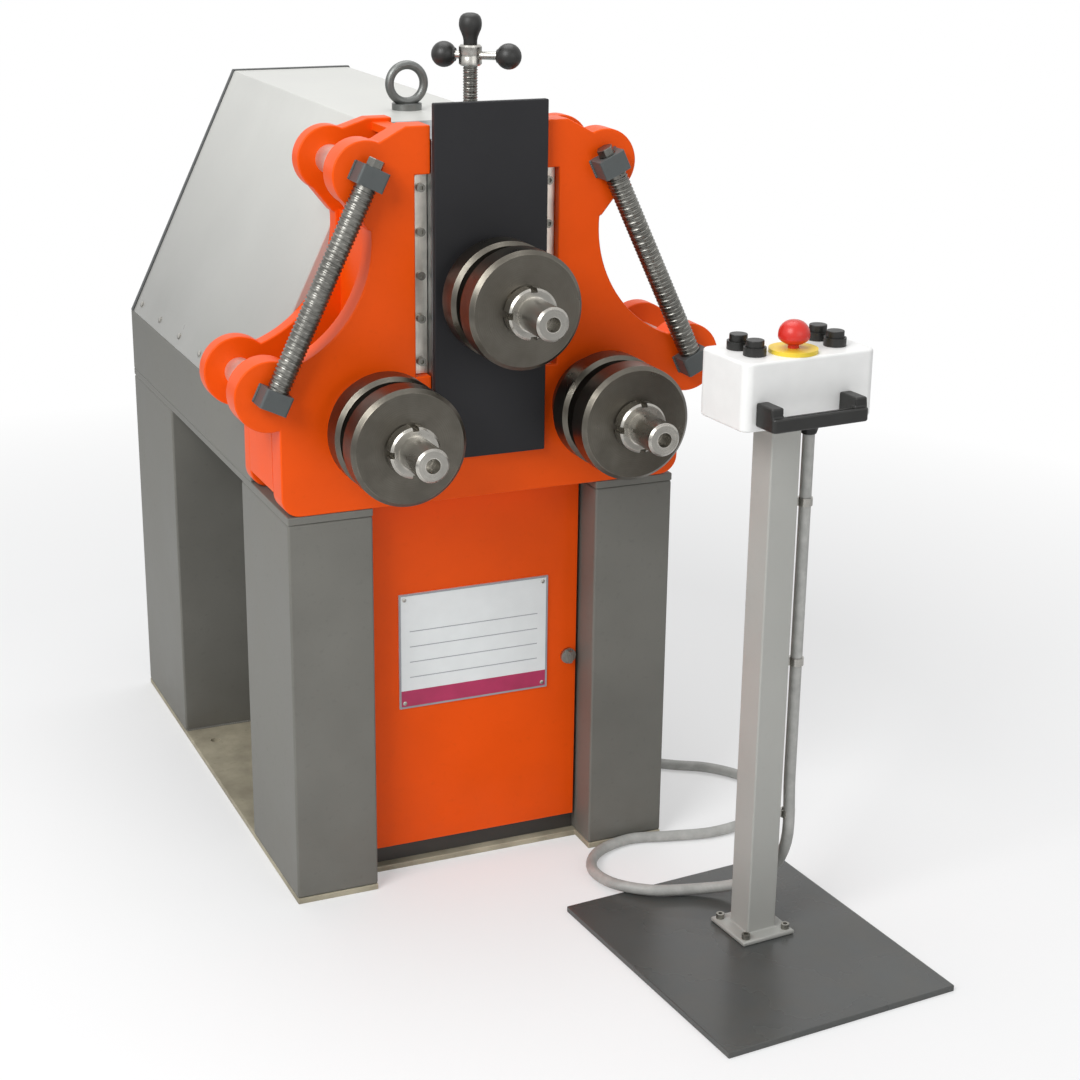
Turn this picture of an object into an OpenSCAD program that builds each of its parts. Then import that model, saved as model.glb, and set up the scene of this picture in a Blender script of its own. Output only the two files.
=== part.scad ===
// Three-roll angle bending machine with a separate control stand.
// Millimetres, +Z up, the front of the machine faces -Y.
// Origin on the floor, in the middle of the base frame.

/* [Base frame] */
// Overall width of the base frame
frame_w = 640; // [620:2:700]
// Overall depth of the base frame
frame_d = 980; // [960:5:1200]
// Width of a leg across the front
leg_w = 134; // [110:1:140]
// Depth of a front leg
front_leg_d = 250; // [200:5:290]
// Depth of a rear leg
rear_leg_d = 280; // [200:5:300]
// Height of the legs
leg_h = 622; // [560:2:700]
// Wall of the leg boxes
leg_wall = 6; // [4:1:10]
// Thickness of the base plate
base_t = 10; // [8:1:16]
// Thickness of the deck plate
deck_t = 12; // [8:1:20]
// Height of the rails on the deck
rail_h = 112; // [80:2:140]
// Thickness of the rails
rail_t = 8; // [5:1:14]
// Distance of a floor anchor hole from the side of the base plate
anchor_in = 40; // [30:1:60]
// Distance along the depth between the floor anchor holes
anchor_y = 300; // [200:5:360]
// Diameter of a floor anchor hole
anchor_d = 18; // [12:1:24]

/* [Cabinet and door] */
// Sheet of the cabinet walls
wall_t = 2; // [1.5:0.5:4]
// Set-back of the door from the front of the legs
door_recess = 54; // [40:1:62]
// Thickness of the door
door_t = 4; // [2:0.5:6]
// Height of the toe strip below the door
toe_h = 30; // [20:1:50]
// Play round the door
door_play = 3; // [2:0.5:5]
// Diameter of a door hinge barrel
hinge_d = 9; // [8:0.5:12]
// Room between the name plate and the door latch
plate_side = 25; // [15:1:40]
// Height of the name plate
plate_h = 194; // [120:2:240]
// Height of the middle of the name plate above the floor
plate_z = 381; // [320:1:440]
// Diameter of the door latch
latch_d = 26; // [20:1:34]

/* [Head] */
// Half the width of the head plates
head_half_w = 328; // [318:1:345]
// Height of the head plates
head_h = 569; // [550:1:620]
// Thickness of the front plate
front_plate_t = 45; // [36:1:55]
// Thickness of the rear plate
rear_plate_t = 30; // [26:1:40]
// Room between the two plates
plate_room = 120; // [100:2:150]
// How much lower the top of the rear plate lies
rear_drop = 9; // [0:1:12]
// Width of the head's top on each side of the slide
shoulder_w = 38; // [32:1:50]
// Height of the upper lugs above the foot of the head
upper_lug_h = 502; // [490:1:512]
// Distance of an upper lug from the middle
upper_lug_x = 190; // [182:1:200]
// Radius of an upper lug
upper_lug_r = 50; // [46:1:56]
// Height of the lower lugs above the foot of the head
lower_lug_h = 188; // [180:1:200]
// Distance of a lower lug from the middle
lower_lug_x = 341; // [330:1:350]
// Radius of a lower lug
lower_lug_r = 54; // [48:1:58]
// Half the width of the head at its waist
waist_x = 182; // [174:1:188]
// Radius of the waist
waist_r = 189; // [170:1:200]
// Diameter of the tie bars between the lugs
tie_d = 44; // [36:1:52]

/* [Slide] */
// Width of the slide
slide_w = 180; // [160:2:190]
// Height of the slide block
slide_h = 393; // [370:1:430]
// How far the cover plate stands above the head plates
cover_above = 32; // [20:1:60]
// How far the slide block stays below the top of its cover plate
slide_low = 52; // [40:1:65]
// Height of the cover plate on the slide
cover_h = 533; // [500:1:540]
// Thickness of the cover plate
cover_t = 12; // [8:1:16]
// Travel of the slide down from rest
slide_down = 60; // [20:1:60]
// Travel of the slide up from rest
slide_up = 50; // [20:1:60]
// Width of a guide strip
gib_w = 24; // [20:1:34]
// Thickness of a guide strip
gib_t = 12; // [6:1:13]
// Thickness of the front plate behind the seat of a guide strip
gib_floor = 17; // [17:1:22]
// Length of a guide strip
gib_l = 300; // [240:5:340]

/* [Rolls] */
// Distance between the two lower shafts
lower_pitch = 360; // [350:2:370]
// Height of the lower shafts above the foot of the head
lower_axis_h = 134; // [125:1:145]
// Height of the upper shaft above the foot of the head
upper_axis_h = 320; // [300:1:330]
// Diameter of the roll rings
roll_d = 176; // [140:1:180]
// Diameter of the spacer ring
spacer_d = 132; // [110:1:160]
// Width of a roll ring
roll_w = 46; // [30:1:56]
// Width of the spacer ring
spacer_w = 24; // [14:1:34]
// Edge bevel of a roll ring
roll_bevel = 6; // [2:0.5:8]
// Diameter of the shafts
shaft_d = 52; // [44:1:60]
// Length of a shaft end past its nut
stub_l = 68; // [40:1:90]
// Diameter of a shaft end past its nut
stub_d = 50; // [42:1:50]
// Diameter of the centre hole in a shaft end
centre_d = 22; // [12:1:28]
// Diameter of a roll nut
nut_d = 76; // [68:1:90]
// Width of a roll nut
nut_w = 24; // [16:1:32]
// Outside diameter of the bearings
bearing_d = 110; // [96:1:116]
// Width of the front bearings
front_bearing_w = 29; // [20:1:32]
// Width of the rear bearings
rear_bearing_w = 22; // [16:1:24]
// Diameter of a bearing cover
bearing_cover_d = 144; // [140:1:150]
// Thickness of a bearing cover
bearing_cover_t = 8; // [5:1:10]

/* [Drive] */
// Tooth module of the gears
gear_m = 4; // [3:0.5:4]
// Width of the gears
gear_w = 45; // [30:1:55]
// Teeth of a roll gear
roll_teeth = 42; // [40:2:44]
// Diameter of the drive shaft
drive_shaft_d = 44; // [36:1:50]
// Width of the gear case
case_w = 200; // [180:2:210]
// Length of the gear case
case_l = 210; // [160:5:240]
// Height of the gear case above its shaft
case_above = 100; // [90:1:120]
// Diameter of the motor
motor_d = 176; // [150:1:190]
// Length of the motor
motor_l = 300; // [240:5:320]

/* [Hydraulics] */
// Outside diameter of the cylinder
barrel_d = 120; // [110:1:126]
// Wall of the cylinder
barrel_wall = 14; // [8:1:16]
// Length of the cylinder
barrel_l = 320; // [300:5:360]
// Diameter of the piston rod
rod_d = 50; // [36:1:56]
// Depth of the piston
piston_h = 40; // [30:1:50]
// Width of the oil tank
tank_w = 220; // [180:5:300]
// Length of the oil tank
tank_l = 270; // [240:5:320]
// Height of the oil tank
tank_h = 230; // [180:5:260]
// Diameter of the pump motor
pump_d = 140; // [120:1:160]
// Height of the pump motor
pump_h = 220; // [180:5:260]
// Diameter of the oil pipes
pipe_d = 14; // [10:1:18]

/* [Casing] */
// Sheet of the casing
hood_t = 3; // [2:0.5:5]
// Height of the hood above the rails
hood_h = 434; // [410:1:440]
// Width of the flat top of the hood
hood_top_w = 220; // [200:2:260]
// Outside radius of the lifting ring
eye_r = 36; // [28:1:44]
// Radius of the lifting ring's bar
eye_bar_r = 7; // [5:0.5:9]
// Distance of the lifting ring behind the front of the machine
eye_back = 345; // [330:1:380]

/* [Guide spindles] */
// Diameter of a guide spindle
spindle_d = 34; // [28:1:36]
// Diameter of the spindle's journals
journal_d = 26; // [20:1:27]
// Width of a spindle block
block_w = 44; // [40:1:60]
// Length of a spindle block along the spindle
block_l = 30; // [26:1:50]
// Depth of a spindle block
block_t = 36; // [36:1:44]
// Height of the spindle's hexagon end
hex_h = 12; // [8:1:20]
// Width across the corners of the hexagon end
hex_d = 26; // [20:1:32]

/* [Stop screw] */
// Distance of the stop screw behind the front of the machine
stop_back = 72; // [60:1:85]
// Diameter of the stop screw
stop_d = 22; // [16:1:26]
// Depth of the stop screw in the slide
stop_depth = 110; // [80:1:130]
// Height of the cross bar above the slide
bar_h = 109; // [95:1:130]
// Length of the cross bar
bar_l = 84; // [78:1:110]
// Turn of the cross bar at rest
bar_turn = -38; // [-60:1:0]
// How far the cross bar is pushed to the right
bar_shift = 9; // [0:1:12]
// Diameter of the cross bar
bar_d = 12; // [8:1:14]
// Diameter of the ball knobs
ball_d = 38; // [28:1:42]
// Diameter of the top knob
knob_d = 34; // [26:1:40]
// Height of the top knob
knob_h = 46; // [36:1:56]

/* [Control stand] */
// Place of the stand to the right of the machine's middle
stand_x = 302; // [290:1:310]
// Place of the stand ahead of the machine's front
stand_ahead = 353; // [345:1:360]
// Turn of the stand
stand_turn = 4.5; // [3:0.5:6]
// Width of the foot plate of the stand
stand_w = 396; // [380:2:420]
// Depth of the foot plate of the stand
stand_d = 468; // [450:2:484]
// Thickness of the foot plate of the stand
stand_t = 10; // [8:1:11]
// Side of the post
post_w = 50; // [44:1:52]
// Height of the post
post_h = 822; // [815:1:830]
// Wall of the post
post_wall = 3; // [2:0.5:5]
// Side of the post's flange
flange_w = 92; // [88:1:110]
// Thickness of the post's flange
flange_t = 8; // [6:1:9]
// Width of the control box
box_w = 220; // [212:1:230]
// Depth of the control box
box_d = 120; // [116:1:130]
// Height of the control box
box_h = 98; // [90:1:110]
// Wall of the control box
box_wall = 3; // [2:0.5:5]
// Corner radius of the control box
box_r = 14; // [8:1:18]
// Diameter of the stop button
estop_d = 45; // [38:1:48]
// Height of the stop button's head
estop_h = 34; // [28:1:40]
// Diameter of the stop button's collar
collar_d = 70; // [60:1:72]
// Travel of the stop button
estop_travel = 5; // [3:0.5:6]
// Diameter of a push button
button_d = 26; // [22:1:30]
// Travel of a push button
button_travel = 4; // [2:0.5:5]
// Distance of the button columns from the middle
button_x = 68; // [66:1:70]
// Distance between the two buttons of a column
button_pitch = 42; // [36:1:48]
// Width of the handle on the control box
handle_w = 160; // [140:1:166]
// How far the handle stands out
handle_out = 47; // [40:1:56]
// Height of the handle bar
handle_h = 20; // [16:1:28]
// Height of the handle's arms
arm_h = 34; // [28:1:44]

/* [Cable and fasteners] */
// Diameter of the control cable
cable_d = 18; // [12:0.5:18]
// Diameter of a cable gland
gland_d = 34; // [28:1:38]
// Length of a cable gland
gland_l = 30; // [20:1:36]
// Diameter of a cap screw
screw_d = 8; // [6:1:9]
// Depth of a cap screw in its plate
screw_in = 14; // [10:1:16]

/* [Hidden] */
$fn = 64;
// Running clearance of a shaft in its hole, on the radius
fit = 0.05;
// Gap between faces that slide past each other
gap = 0.3;
// Overlap that makes a cut go through
eps = 1;

front_y = -frame_d / 2;
rear_y = frame_d / 2;
leg_in_x = frame_w / 2 - leg_w;
anchor_x = frame_w - 2 * anchor_in;
leg_top = base_t + leg_h;
foot_z = leg_top + deck_t;
rail_top = foot_z + rail_h;

head_d = front_plate_t + plate_room + rear_plate_t;
head_top = foot_z + head_h;
rear_top = head_top - rear_drop;
head_corner_r = 30;
upper_lug_z = foot_z + upper_lug_h;
lower_lug_z = foot_z + lower_lug_h;
waist_drop = 96;
waist_z = upper_lug_z - waist_drop;
lug_foot_drop = 80;
side_plate_t = 20;
web_t = 12;
web_in = 6;

cover_top = head_top + cover_above;
slide_top = cover_top - slide_low;
slide_z = slide_top - slide_h;
slide_end_play = 2;
slot_half = slide_w / 2 + gap;
shoulder_x = slot_half + shoulder_w;
slot_z = slide_z - slide_down - 8;
cover_z = cover_top - cover_h;
cover_y = front_y - slide_end_play - cover_t;
slide_back = front_y + head_d - slide_end_play;
slide_flange = 22;
flange_top_play = 11;
flange_z = rear_top - web_in - web_t - flange_top_play - slide_up;
gib_top = upper_lug_z - 4;
gib_x = slot_half + gib_w / 2;
gib_seat = front_plate_t - gib_floor;
gib_y = front_y + gib_seat;

lower_z = foot_z + lower_axis_h;
upper_z = foot_z + upper_axis_h;
lower_x = lower_pitch / 2;
collar_y = cover_y - bearing_cover_t - 1;
collar_w = 10;
collar_shaft_d = shaft_d + 36;
roll_back = collar_y - collar_w;
ring_gap = 0.1;
ring_stack = 2 * roll_w + spacer_w + 2 * ring_gap;
nut_y = roll_back - ring_stack - nut_w;
shaft_front = nut_y - stub_l;
front_bearing_y = front_y + (front_plate_t - front_bearing_w) / 2;
rear_bearing_y = front_y + head_d - (rear_plate_t + rear_bearing_w) / 2;
upper_rear_bearing_y = slide_back - rear_bearing_w - 6;

gear_y = front_y + head_d + 18;
gear_back = gear_y + gear_w;
drive_teeth = 2 * round((2 * lower_x / gear_m - roll_teeth) / 2);
roll_pitch_r = lower_x * roll_teeth / (roll_teeth + drive_teeth);
drive_pitch_r = lower_x - roll_pitch_r;
gear_module = 2 * roll_pitch_r / roll_teeth;
backlash = 0.4;
case_y = gear_back + 10;
drive_in = 70;

rod_y = front_y + front_plate_t + plate_room * 3 / 4;
barrel_flange_d = barrel_d + 12;
barrel_flange_t = 16;
barrel_z = leg_top - barrel_l;
barrel_cap_t = 20;
port_out = 12;
port_d = 26;
piston_z = barrel_z + barrel_cap_t + slide_down + 46;
tank_room = 123;
tank_y = rod_y + barrel_d / 2 + port_out + tank_room;
manifold = [90, 80, 60];
manifold_in = 10;
pipe_low_z = barrel_z + 50;
pipe_high_z = leg_top - 48;

hood_top = rail_top + hood_h;
hood_y = front_y + head_d;
panel_in = 4;
panel_y = rear_y - panel_in - hood_t;
hood_angle = atan2(hood_h, (frame_w - hood_top_w) / 2);
beam_w = 70;
beam_h = 50;
eye_y = front_y + eye_back;
eye_shank_d = 22;
eye_collar_d = 48;
eye_collar_t = 10;

spindle_y = front_y - block_t / 2;
spindle_run = [lower_lug_x - upper_lug_x, upper_lug_z - lower_lug_z];
spindle_tilt = atan2(spindle_run[0], spindle_run[1]);
spindle_l = norm(spindle_run);
block_r = 4;

stop_y = front_y + stop_back;
bar_z = slide_top + bar_h;
hub_d = 34;
hub_h = 30;

door_y = front_y + door_recess;
door_z = base_t + toe_h + door_play;
door_top = leg_top - door_play;
hinge_x = -leg_in_x + hinge_d / 2 + 0.5;
hinge_y = door_y;
hinge_pin_d = hinge_d / 2;
hinge_knuckle = 30;
hinge_in = 70;
hinge_zs = [door_z + hinge_in, door_top - hinge_in - 2 * hinge_knuckle];
door_left = hinge_x + hinge_d / 2 + 1;
door_right = leg_in_x - wall_t - door_play;
latch_x = door_right - latch_d / 2 - 2;
latch_z = plate_z - 48;
plate_w = 2 * (latch_x - latch_d / 2 - plate_side);
latch_stem_d = 10;
lip_y = door_y + door_t + 12;
lip_w = 8;
name_plate_t = 2;

stand_y = front_y - stand_ahead;
stand_shift = [-26, -45];
flange_top = stand_t + flange_t;
box_z = stand_t + post_h;
box_shift = 12;
estop_at = [-8, -23];
button_at = [for (side = [-1, 1]) for (row = [1, 0]) [side * button_x, (row - 0.5) * button_pitch + 5]];
button_stem_d = 16;
collar_t = 6;
handle_bar_t = 14;
handle_z = box_z + 9;
flange_bolt = flange_w / 2 - 10;

screw_head_d = 1.6 * screw_d;
screw_head_h = screw_d;

// Route of the control cable: from the cabinet, over the floor in an S, up the post.
// Measured from the middle of the machine's front edge at the floor.
gland_at = [leg_in_x, 340, 62];
route_floor = [
    [313, 336, 57], [364, 312, 36], [403, 266, 13], [455, 225, 10], [511, 186, 11], [553, 130, 10],
    [561, 61, 10], [527, 1, 10], [466, -32, 10], [396, -42, 10], [326, -28, 10], [255, -12, 10],
    [187, -36, 11], [150, -92, 15], [155, -154, 19], [199, -203, 21], [264, -226, 21],
    [318, -256, 32], [349, -302, 65],
];
cable_lead = [23, 0, 0];
post_lane = [stand_x + 50, -stand_ahead - 4];
route_post = [for (z = [150 : 110 : box_z - gland_l - 30]) [post_lane[0], post_lane[1], z]];

function from_front(p) = [p[0], p[1] + front_y, p[2]];
cable_start = from_front([gland_at[0] + gland_l, gland_at[1], gland_at[2]]);
cable_end = from_front([post_lane[0], post_lane[1], box_z - gland_l]);
cable_points = concat(
    [cable_start, cable_start + cable_lead, cable_start + 2 * cable_lead],
    [for (p = concat(route_floor, route_post)) from_front(p)],
    [cable_end]
);

// Shared shapes

// Round bar along +Y
module rod_along_y(d, y_from, y_to) {
    translate([0, y_from, 0])
        rotate([-90, 0, 0])
            cylinder(d = d, h = y_to - y_from);
}

// Plate standing in the XZ plane, cut from a list of points
module plate_xz(points, y_from, y_to) {
    translate([0, y_to, 0])
        rotate([90, 0, 0])
            linear_extrude(height = y_to - y_from)
                polygon(points);
}

// Upright box tube with its low corner at the origin
module box_tube(w, d, h, wall) {
    difference() {
        cube([w, d, h]);
        translate([wall, wall, -eps])
            cube([w - 2 * wall, d - 2 * wall, h + 2 * eps]);
    }
}

// Block with round upright edges, centred on the origin, standing on Z 0
module round_block(w, d, h, r) {
    translate([-w / 2 + r, -d / 2, 0])
        cube([w - 2 * r, d, h]);
    translate([-w / 2, -d / 2 + r, 0])
        cube([w, d - 2 * r, h]);
    for (sx = [-1, 1], sy = [-1, 1])
        translate([sx * (w / 2 - r), sy * (d / 2 - r), 0])
            cylinder(r = r, h = h);
}

// Ring turned about +Y with bevelled edges
module bevelled_ring(d, bore, w, bevel) {
    rotate([-90, 0, 0])
        rotate_extrude()
            polygon([
                [bore / 2, 0], [d / 2 - bevel, 0], [d / 2, bevel],
                [d / 2, w - bevel], [d / 2 - bevel, w], [bore / 2, w],
            ]);
}

// Cap screw with its head at the origin and its shank along +Y
module cap_screw(shank_l) {
    difference() {
        rod_along_y(screw_head_d, -screw_head_h, 0);
        translate([0, -screw_head_h - eps, 0])
            rotate([-90, 0, 0])
                cylinder(d = screw_d * 0.9, h = screw_head_h / 2 + eps, $fn = 6);
    }
    rod_along_y(screw_d, -screw_head_h / 4, shank_l);
}

// Hole for the shank of a cap screw
module screw_hole(shank_l) {
    rod_along_y(screw_d + 2 * fit, -eps, shank_l + 0.2);
}

module mirrored_x() {
    children();
    mirror([1, 0, 0])
        children();
}

// Places and frames

module at_left_axis() {
    translate([-lower_x, 0, lower_z])
        children();
}

module at_right_axis() {
    translate([lower_x, 0, lower_z])
        children();
}

module at_upper_axis() {
    translate([0, 0, upper_z])
        children();
}

// Frame of a guide spindle: Z runs up the spindle, the origin is at the lower lug
module at_spindle(side) {
    translate([side * lower_lug_x, spindle_y, lower_lug_z])
        rotate([0, -side * spindle_tilt, 0])
            children();
}

module at_gib_screws() {
    count = 5;
    pitch = (gib_l - 40) / (count - 1);
    for (side = [-1, 1], i = [0 : count - 1])
        translate([side * gib_x, gib_y, gib_top - 20 - i * pitch])
            children();
}

module at_bearing_cover_screws() {
    count = 6;
    pcd = (bearing_d + bearing_cover_d) / 2;
    for (i = [0 : count - 1])
        rotate([0, i * 360 / count + 30, 0])
            translate([pcd / 2, 0, 0])
                children();
}

module at_lower_axes() {
    at_left_axis()
        children();
    at_right_axis()
        children();
}

module at_cross_bar() {
    translate([0, stop_y, bar_z])
        rotate([0, 0, bar_turn])
            children();
}

module at_stand() {
    translate([stand_x, stand_y, 0])
        rotate([0, 0, stand_turn])
            children();
}

module at_box() {
    at_stand()
        translate([box_shift, 0, box_z])
            children();
}

module at_flange_bolts() {
    at_stand()
        for (sx = [-1, 1], sy = [-1, 1])
            translate([sx * flange_bolt, sy * flange_bolt, flange_top])
                rotate([-90, 0, 0])
                    children();
}

// Base frame

module base_plate() {
    color("tan")
        difference() {
            translate([-frame_w / 2, front_y, 0])
                cube([frame_w, frame_d, base_t]);
            translate([-leg_in_x, front_y - eps, -eps])
                cube([2 * leg_in_x, door_recess + eps, base_t + 2 * eps]);
            for (sx = [-1, 1], sy = [-1, 1])
                translate([sx * anchor_x / 2, sy * anchor_y / 2, -eps])
                    cylinder(d = anchor_d, h = base_t + 2 * eps);
        }
}

module frame_legs() {
    color("dimgray")
        mirrored_x() {
            translate([leg_in_x, front_y, base_t])
                box_tube(leg_w, front_leg_d, leg_h, leg_wall);
            translate([leg_in_x, rear_y - rear_leg_d, base_t])
                box_tube(leg_w, rear_leg_d, leg_h, leg_wall);
        }
}

// Plate on the legs, notched above the door, with a hole for the piston rod
module deck_plate() {
    color("dimgray")
        difference() {
            translate([-frame_w / 2, front_y, leg_top])
                cube([frame_w, frame_d, deck_t]);
            translate([-leg_in_x, front_y - eps, leg_top - eps])
                cube([2 * leg_in_x, door_recess + eps, deck_t + 2 * eps]);
            translate([0, rod_y, leg_top - eps])
                cylinder(d = rod_d + 6, h = deck_t + 2 * eps);
        }
}

module top_rails() {
    color("gray") {
        mirrored_x()
            translate([frame_w / 2 - rail_t, front_y + head_d, foot_z])
                cube([rail_t, frame_d - head_d, rail_h]);
        translate([-frame_w / 2 + rail_t, rear_y - rail_t, foot_z])
            cube([frame_w - 2 * rail_t, rail_t, rail_h]);
    }
}

module cabinet_walls() {
    wall_back = rear_y - door_recess;
    color("gray") {
        difference() {
            mirrored_x() {
                translate([leg_in_x - wall_t, lip_y, base_t])
                    cube([wall_t, wall_back - lip_y, leg_h]);
                translate([leg_in_x - wall_t - lip_w, lip_y, base_t])
                    cube([lip_w, wall_t, leg_h]);
            }
            translate([gland_at[0] - wall_t - eps, gland_at[1] + front_y, gland_at[2]])
                rotate([0, 90, 0])
                    cylinder(d = cable_d + 2, h = wall_t + 2 * eps);
        }
        translate([-leg_in_x + wall_t, wall_back - wall_t, base_t])
            cube([2 * (leg_in_x - wall_t), wall_t, leg_h]);
        translate([-leg_in_x + wall_t, lip_y, base_t])
            cube([2 * (leg_in_x - wall_t), wall_t, toe_h]);
    }
}

// Head

// Outline of a head plate: body with round lower corners, waist cut and four lugs
module head_plate_blank(y_from, y_to, top_z) {
    notch_x = upper_lug_x - 0.4 * upper_lug_r;
    notch_z = upper_lug_z + 0.9 * upper_lug_r;
    difference() {
        union() {
            plate_xz([
                [-head_half_w + head_corner_r, foot_z], [head_half_w - head_corner_r, foot_z],
                [head_half_w, foot_z + head_corner_r], [head_half_w, lower_lug_z + lower_lug_r],
                [upper_lug_x, upper_lug_z], [notch_x, notch_z], [shoulder_x, top_z],
                [-shoulder_x, top_z], [-notch_x, notch_z], [-upper_lug_x, upper_lug_z],
                [-head_half_w, lower_lug_z + lower_lug_r], [-head_half_w, foot_z + head_corner_r],
            ], y_from, y_to);
            mirrored_x()
                translate([head_half_w - head_corner_r, 0, foot_z + head_corner_r])
                    rod_along_y(2 * head_corner_r, y_from, y_to);
        }
        mirrored_x()
            translate([waist_x + waist_r, 0, waist_z])
                rod_along_y(2 * waist_r, y_from - eps, y_to + eps);
    }
    mirrored_x() {
        translate([upper_lug_x, 0, upper_lug_z])
            rod_along_y(2 * upper_lug_r, y_from, y_to);
        translate([lower_lug_x, 0, lower_lug_z])
            rod_along_y(2 * lower_lug_r, y_from, y_to);
        plate_xz([
            [waist_x - 20, upper_lug_z - lug_foot_drop], [waist_x + 4, upper_lug_z - lug_foot_drop],
            [upper_lug_x + 0.94 * upper_lug_r, upper_lug_z - 0.34 * upper_lug_r],
            [upper_lug_x, upper_lug_z], [waist_x - 20, upper_lug_z],
        ], y_from, y_to);
    }
}

module slide_slot(y_from, y_to) {
    translate([-slot_half, y_from - eps, slot_z])
        cube([2 * slot_half, y_to - y_from + 2 * eps, head_top - slot_z + eps]);
}

// Open pockets in the front plate, beside the slot, for the guide strips
module gib_seats() {
    mirrored_x()
        translate([slot_half - eps, front_y - eps, gib_top - gib_l - gap])
            cube([gib_w + gap + eps, gib_seat + eps, gib_l + 2 * gap]);
}

module head_front_plate() {
    y_to = front_y + front_plate_t;
    color("orangered")
        difference() {
            head_plate_blank(front_y, y_to, head_top);
            slide_slot(front_y, y_to);
            at_lower_axes() {
                rod_along_y(bearing_d + 2 * fit, front_y - eps, y_to + eps);
                translate([0, front_y, 0])
                    at_bearing_cover_screws()
                        screw_hole(screw_in);
            }
            gib_seats();
            at_gib_screws()
                screw_hole(screw_in);
        }
}

module head_rear_plate() {
    y_from = front_y + front_plate_t + plate_room;
    color("orangered")
        difference() {
            head_plate_blank(y_from, y_from + rear_plate_t, rear_top);
            slide_slot(y_from, y_from + rear_plate_t);
            at_lower_axes()
                rod_along_y(bearing_d + 2 * fit, y_from - eps, y_from + rear_plate_t + eps);
        }
}

// Plates that close the head between its front and rear plate
module head_box_plates() {
    inner_y = front_y + front_plate_t;
    color("orangered")
        mirrored_x() {
            translate([head_half_w - side_plate_t, inner_y, foot_z + head_corner_r])
                cube([side_plate_t, plate_room, lower_lug_h - lower_lug_r - head_corner_r]);
            translate([waist_x - web_t - web_in, inner_y, lower_lug_z + lower_lug_r + 20])
                cube([web_t, plate_room, waist_z - lower_lug_z - lower_lug_r]);
            translate([slot_half + web_in, inner_y, rear_top - web_t - web_in])
                cube([shoulder_w - 2 * web_in, plate_room, web_t]);
        }
    color("orangered")
        lifting_beam();
}

// Beam behind the head that carries the lifting ring
module lifting_beam() {
    beam_l = eye_back - head_d + beam_w / 2;
    difference() {
        translate([-beam_w / 2, front_y + head_d, hood_top - hood_t - beam_h])
            cube([beam_w, beam_l, beam_h]);
        translate([0, eye_y, hood_top - hood_t - beam_h - eps])
            cylinder(d = eye_shank_d + 2 * fit, h = beam_h + 2 * eps);
    }
}

// Bars that tie the lugs of the two head plates together
module lug_tie_bars() {
    inner_y = front_y + front_plate_t;
    color("silver")
        mirrored_x() {
            translate([upper_lug_x, 0, upper_lug_z])
                rod_along_y(tie_d, inner_y, inner_y + plate_room);
            translate([lower_lug_x, 0, lower_lug_z])
                rod_along_y(tie_d, inner_y, inner_y + plate_room);
        }
}

module gib_strips() {
    color("silver")
        difference() {
            mirrored_x()
                translate([slot_half, gib_y - gib_t, gib_top - gib_l])
                    cube([gib_w, gib_t, gib_l]);
            at_gib_screws()
                translate([0, -gib_t, 0])
                    screw_hole(gib_t + eps);
        }
}

module cap_screws() {
    color("gray") {
        at_gib_screws()
            translate([0, -gib_t, 0])
                cap_screw(gib_t + screw_in);
        at_lower_axes()
            translate([0, front_y, 0])
                at_bearing_cover_screws()
                    translate([0, -bearing_cover_t, 0])
                        cap_screw(bearing_cover_t + screw_in);
        at_flange_bolts()
            cap_screw(flange_t + stand_t / 2);
    }
}

// Casing

// Upright sheet with the outline of the casing's cross section
module casing_section(y_from, y_to) {
    half_base = frame_w / 2;
    half_top = hood_top_w / 2;
    plate_xz([
        [half_base, rail_top], [half_top, hood_top], [-half_top, hood_top], [-half_base, rail_top],
    ], y_from, y_to);
}

// Folded hood with its front wall, which lies on the rear plate of the head
module casing_hood() {
    side_t = hood_t / sin(hood_angle);
    half_base = frame_w / 2 - side_t;
    half_top = hood_top_w / 2 + hood_t / tan(hood_angle) - side_t;
    shaft_room = 6;
    color("gainsboro")
        difference() {
            casing_section(hood_y, panel_y);
            plate_xz([
                [half_base, rail_top - eps], [half_base, rail_top], [half_top, hood_top - hood_t],
                [-half_top, hood_top - hood_t], [-half_base, rail_top], [-half_base, rail_top - eps],
            ], hood_y + hood_t, panel_y + eps);
            translate([-beam_w / 2 - gap, hood_y - eps, hood_top - hood_t - beam_h - gap])
                cube([beam_w + 2 * gap, hood_t + 2 * eps, beam_h + gap]);
            at_lower_axes()
                rod_along_y(shaft_d + 2 * shaft_room, hood_y - eps, hood_y + hood_t + eps);
            translate([0, eye_y, hood_top - hood_t - eps])
                cylinder(d = eye_shank_d + 2 * fit, h = hood_t + 2 * eps);
        }
}

module casing_rear_panel() {
    slots = 7;
    slot_w = 160;
    slot_h = 8;
    color("gainsboro")
        difference() {
            casing_section(panel_y, panel_y + hood_t);
            for (i = [0 : slots - 1])
                translate([-slot_w / 2, panel_y - eps, rail_top + 60 + i * 22])
                    cube([slot_w, hood_t + 2 * eps, slot_h]);
        }
}

module lifting_eye() {
    ring_z = hood_top + eye_collar_t / 2 + eye_r;
    color("dimgray") {
        translate([0, eye_y, ring_z])
            rotate([90, 0, 0])
                rotate_extrude()
                    translate([eye_r - eye_bar_r, 0])
                        circle(r = eye_bar_r);
        translate([0, eye_y, hood_top])
            cylinder(d = eye_collar_d, h = eye_collar_t);
        translate([0, eye_y, hood_top - hood_t - beam_h])
            cylinder(d = eye_shank_d, h = hood_t + beam_h + eps);
    }
}

// Bearings

module bearing(w, y_from) {
    difference() {
        rod_along_y(bearing_d, y_from, y_from + w);
        rod_along_y(shaft_d + 2 * fit, y_from - eps, y_from + w + eps);
    }
}

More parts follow.
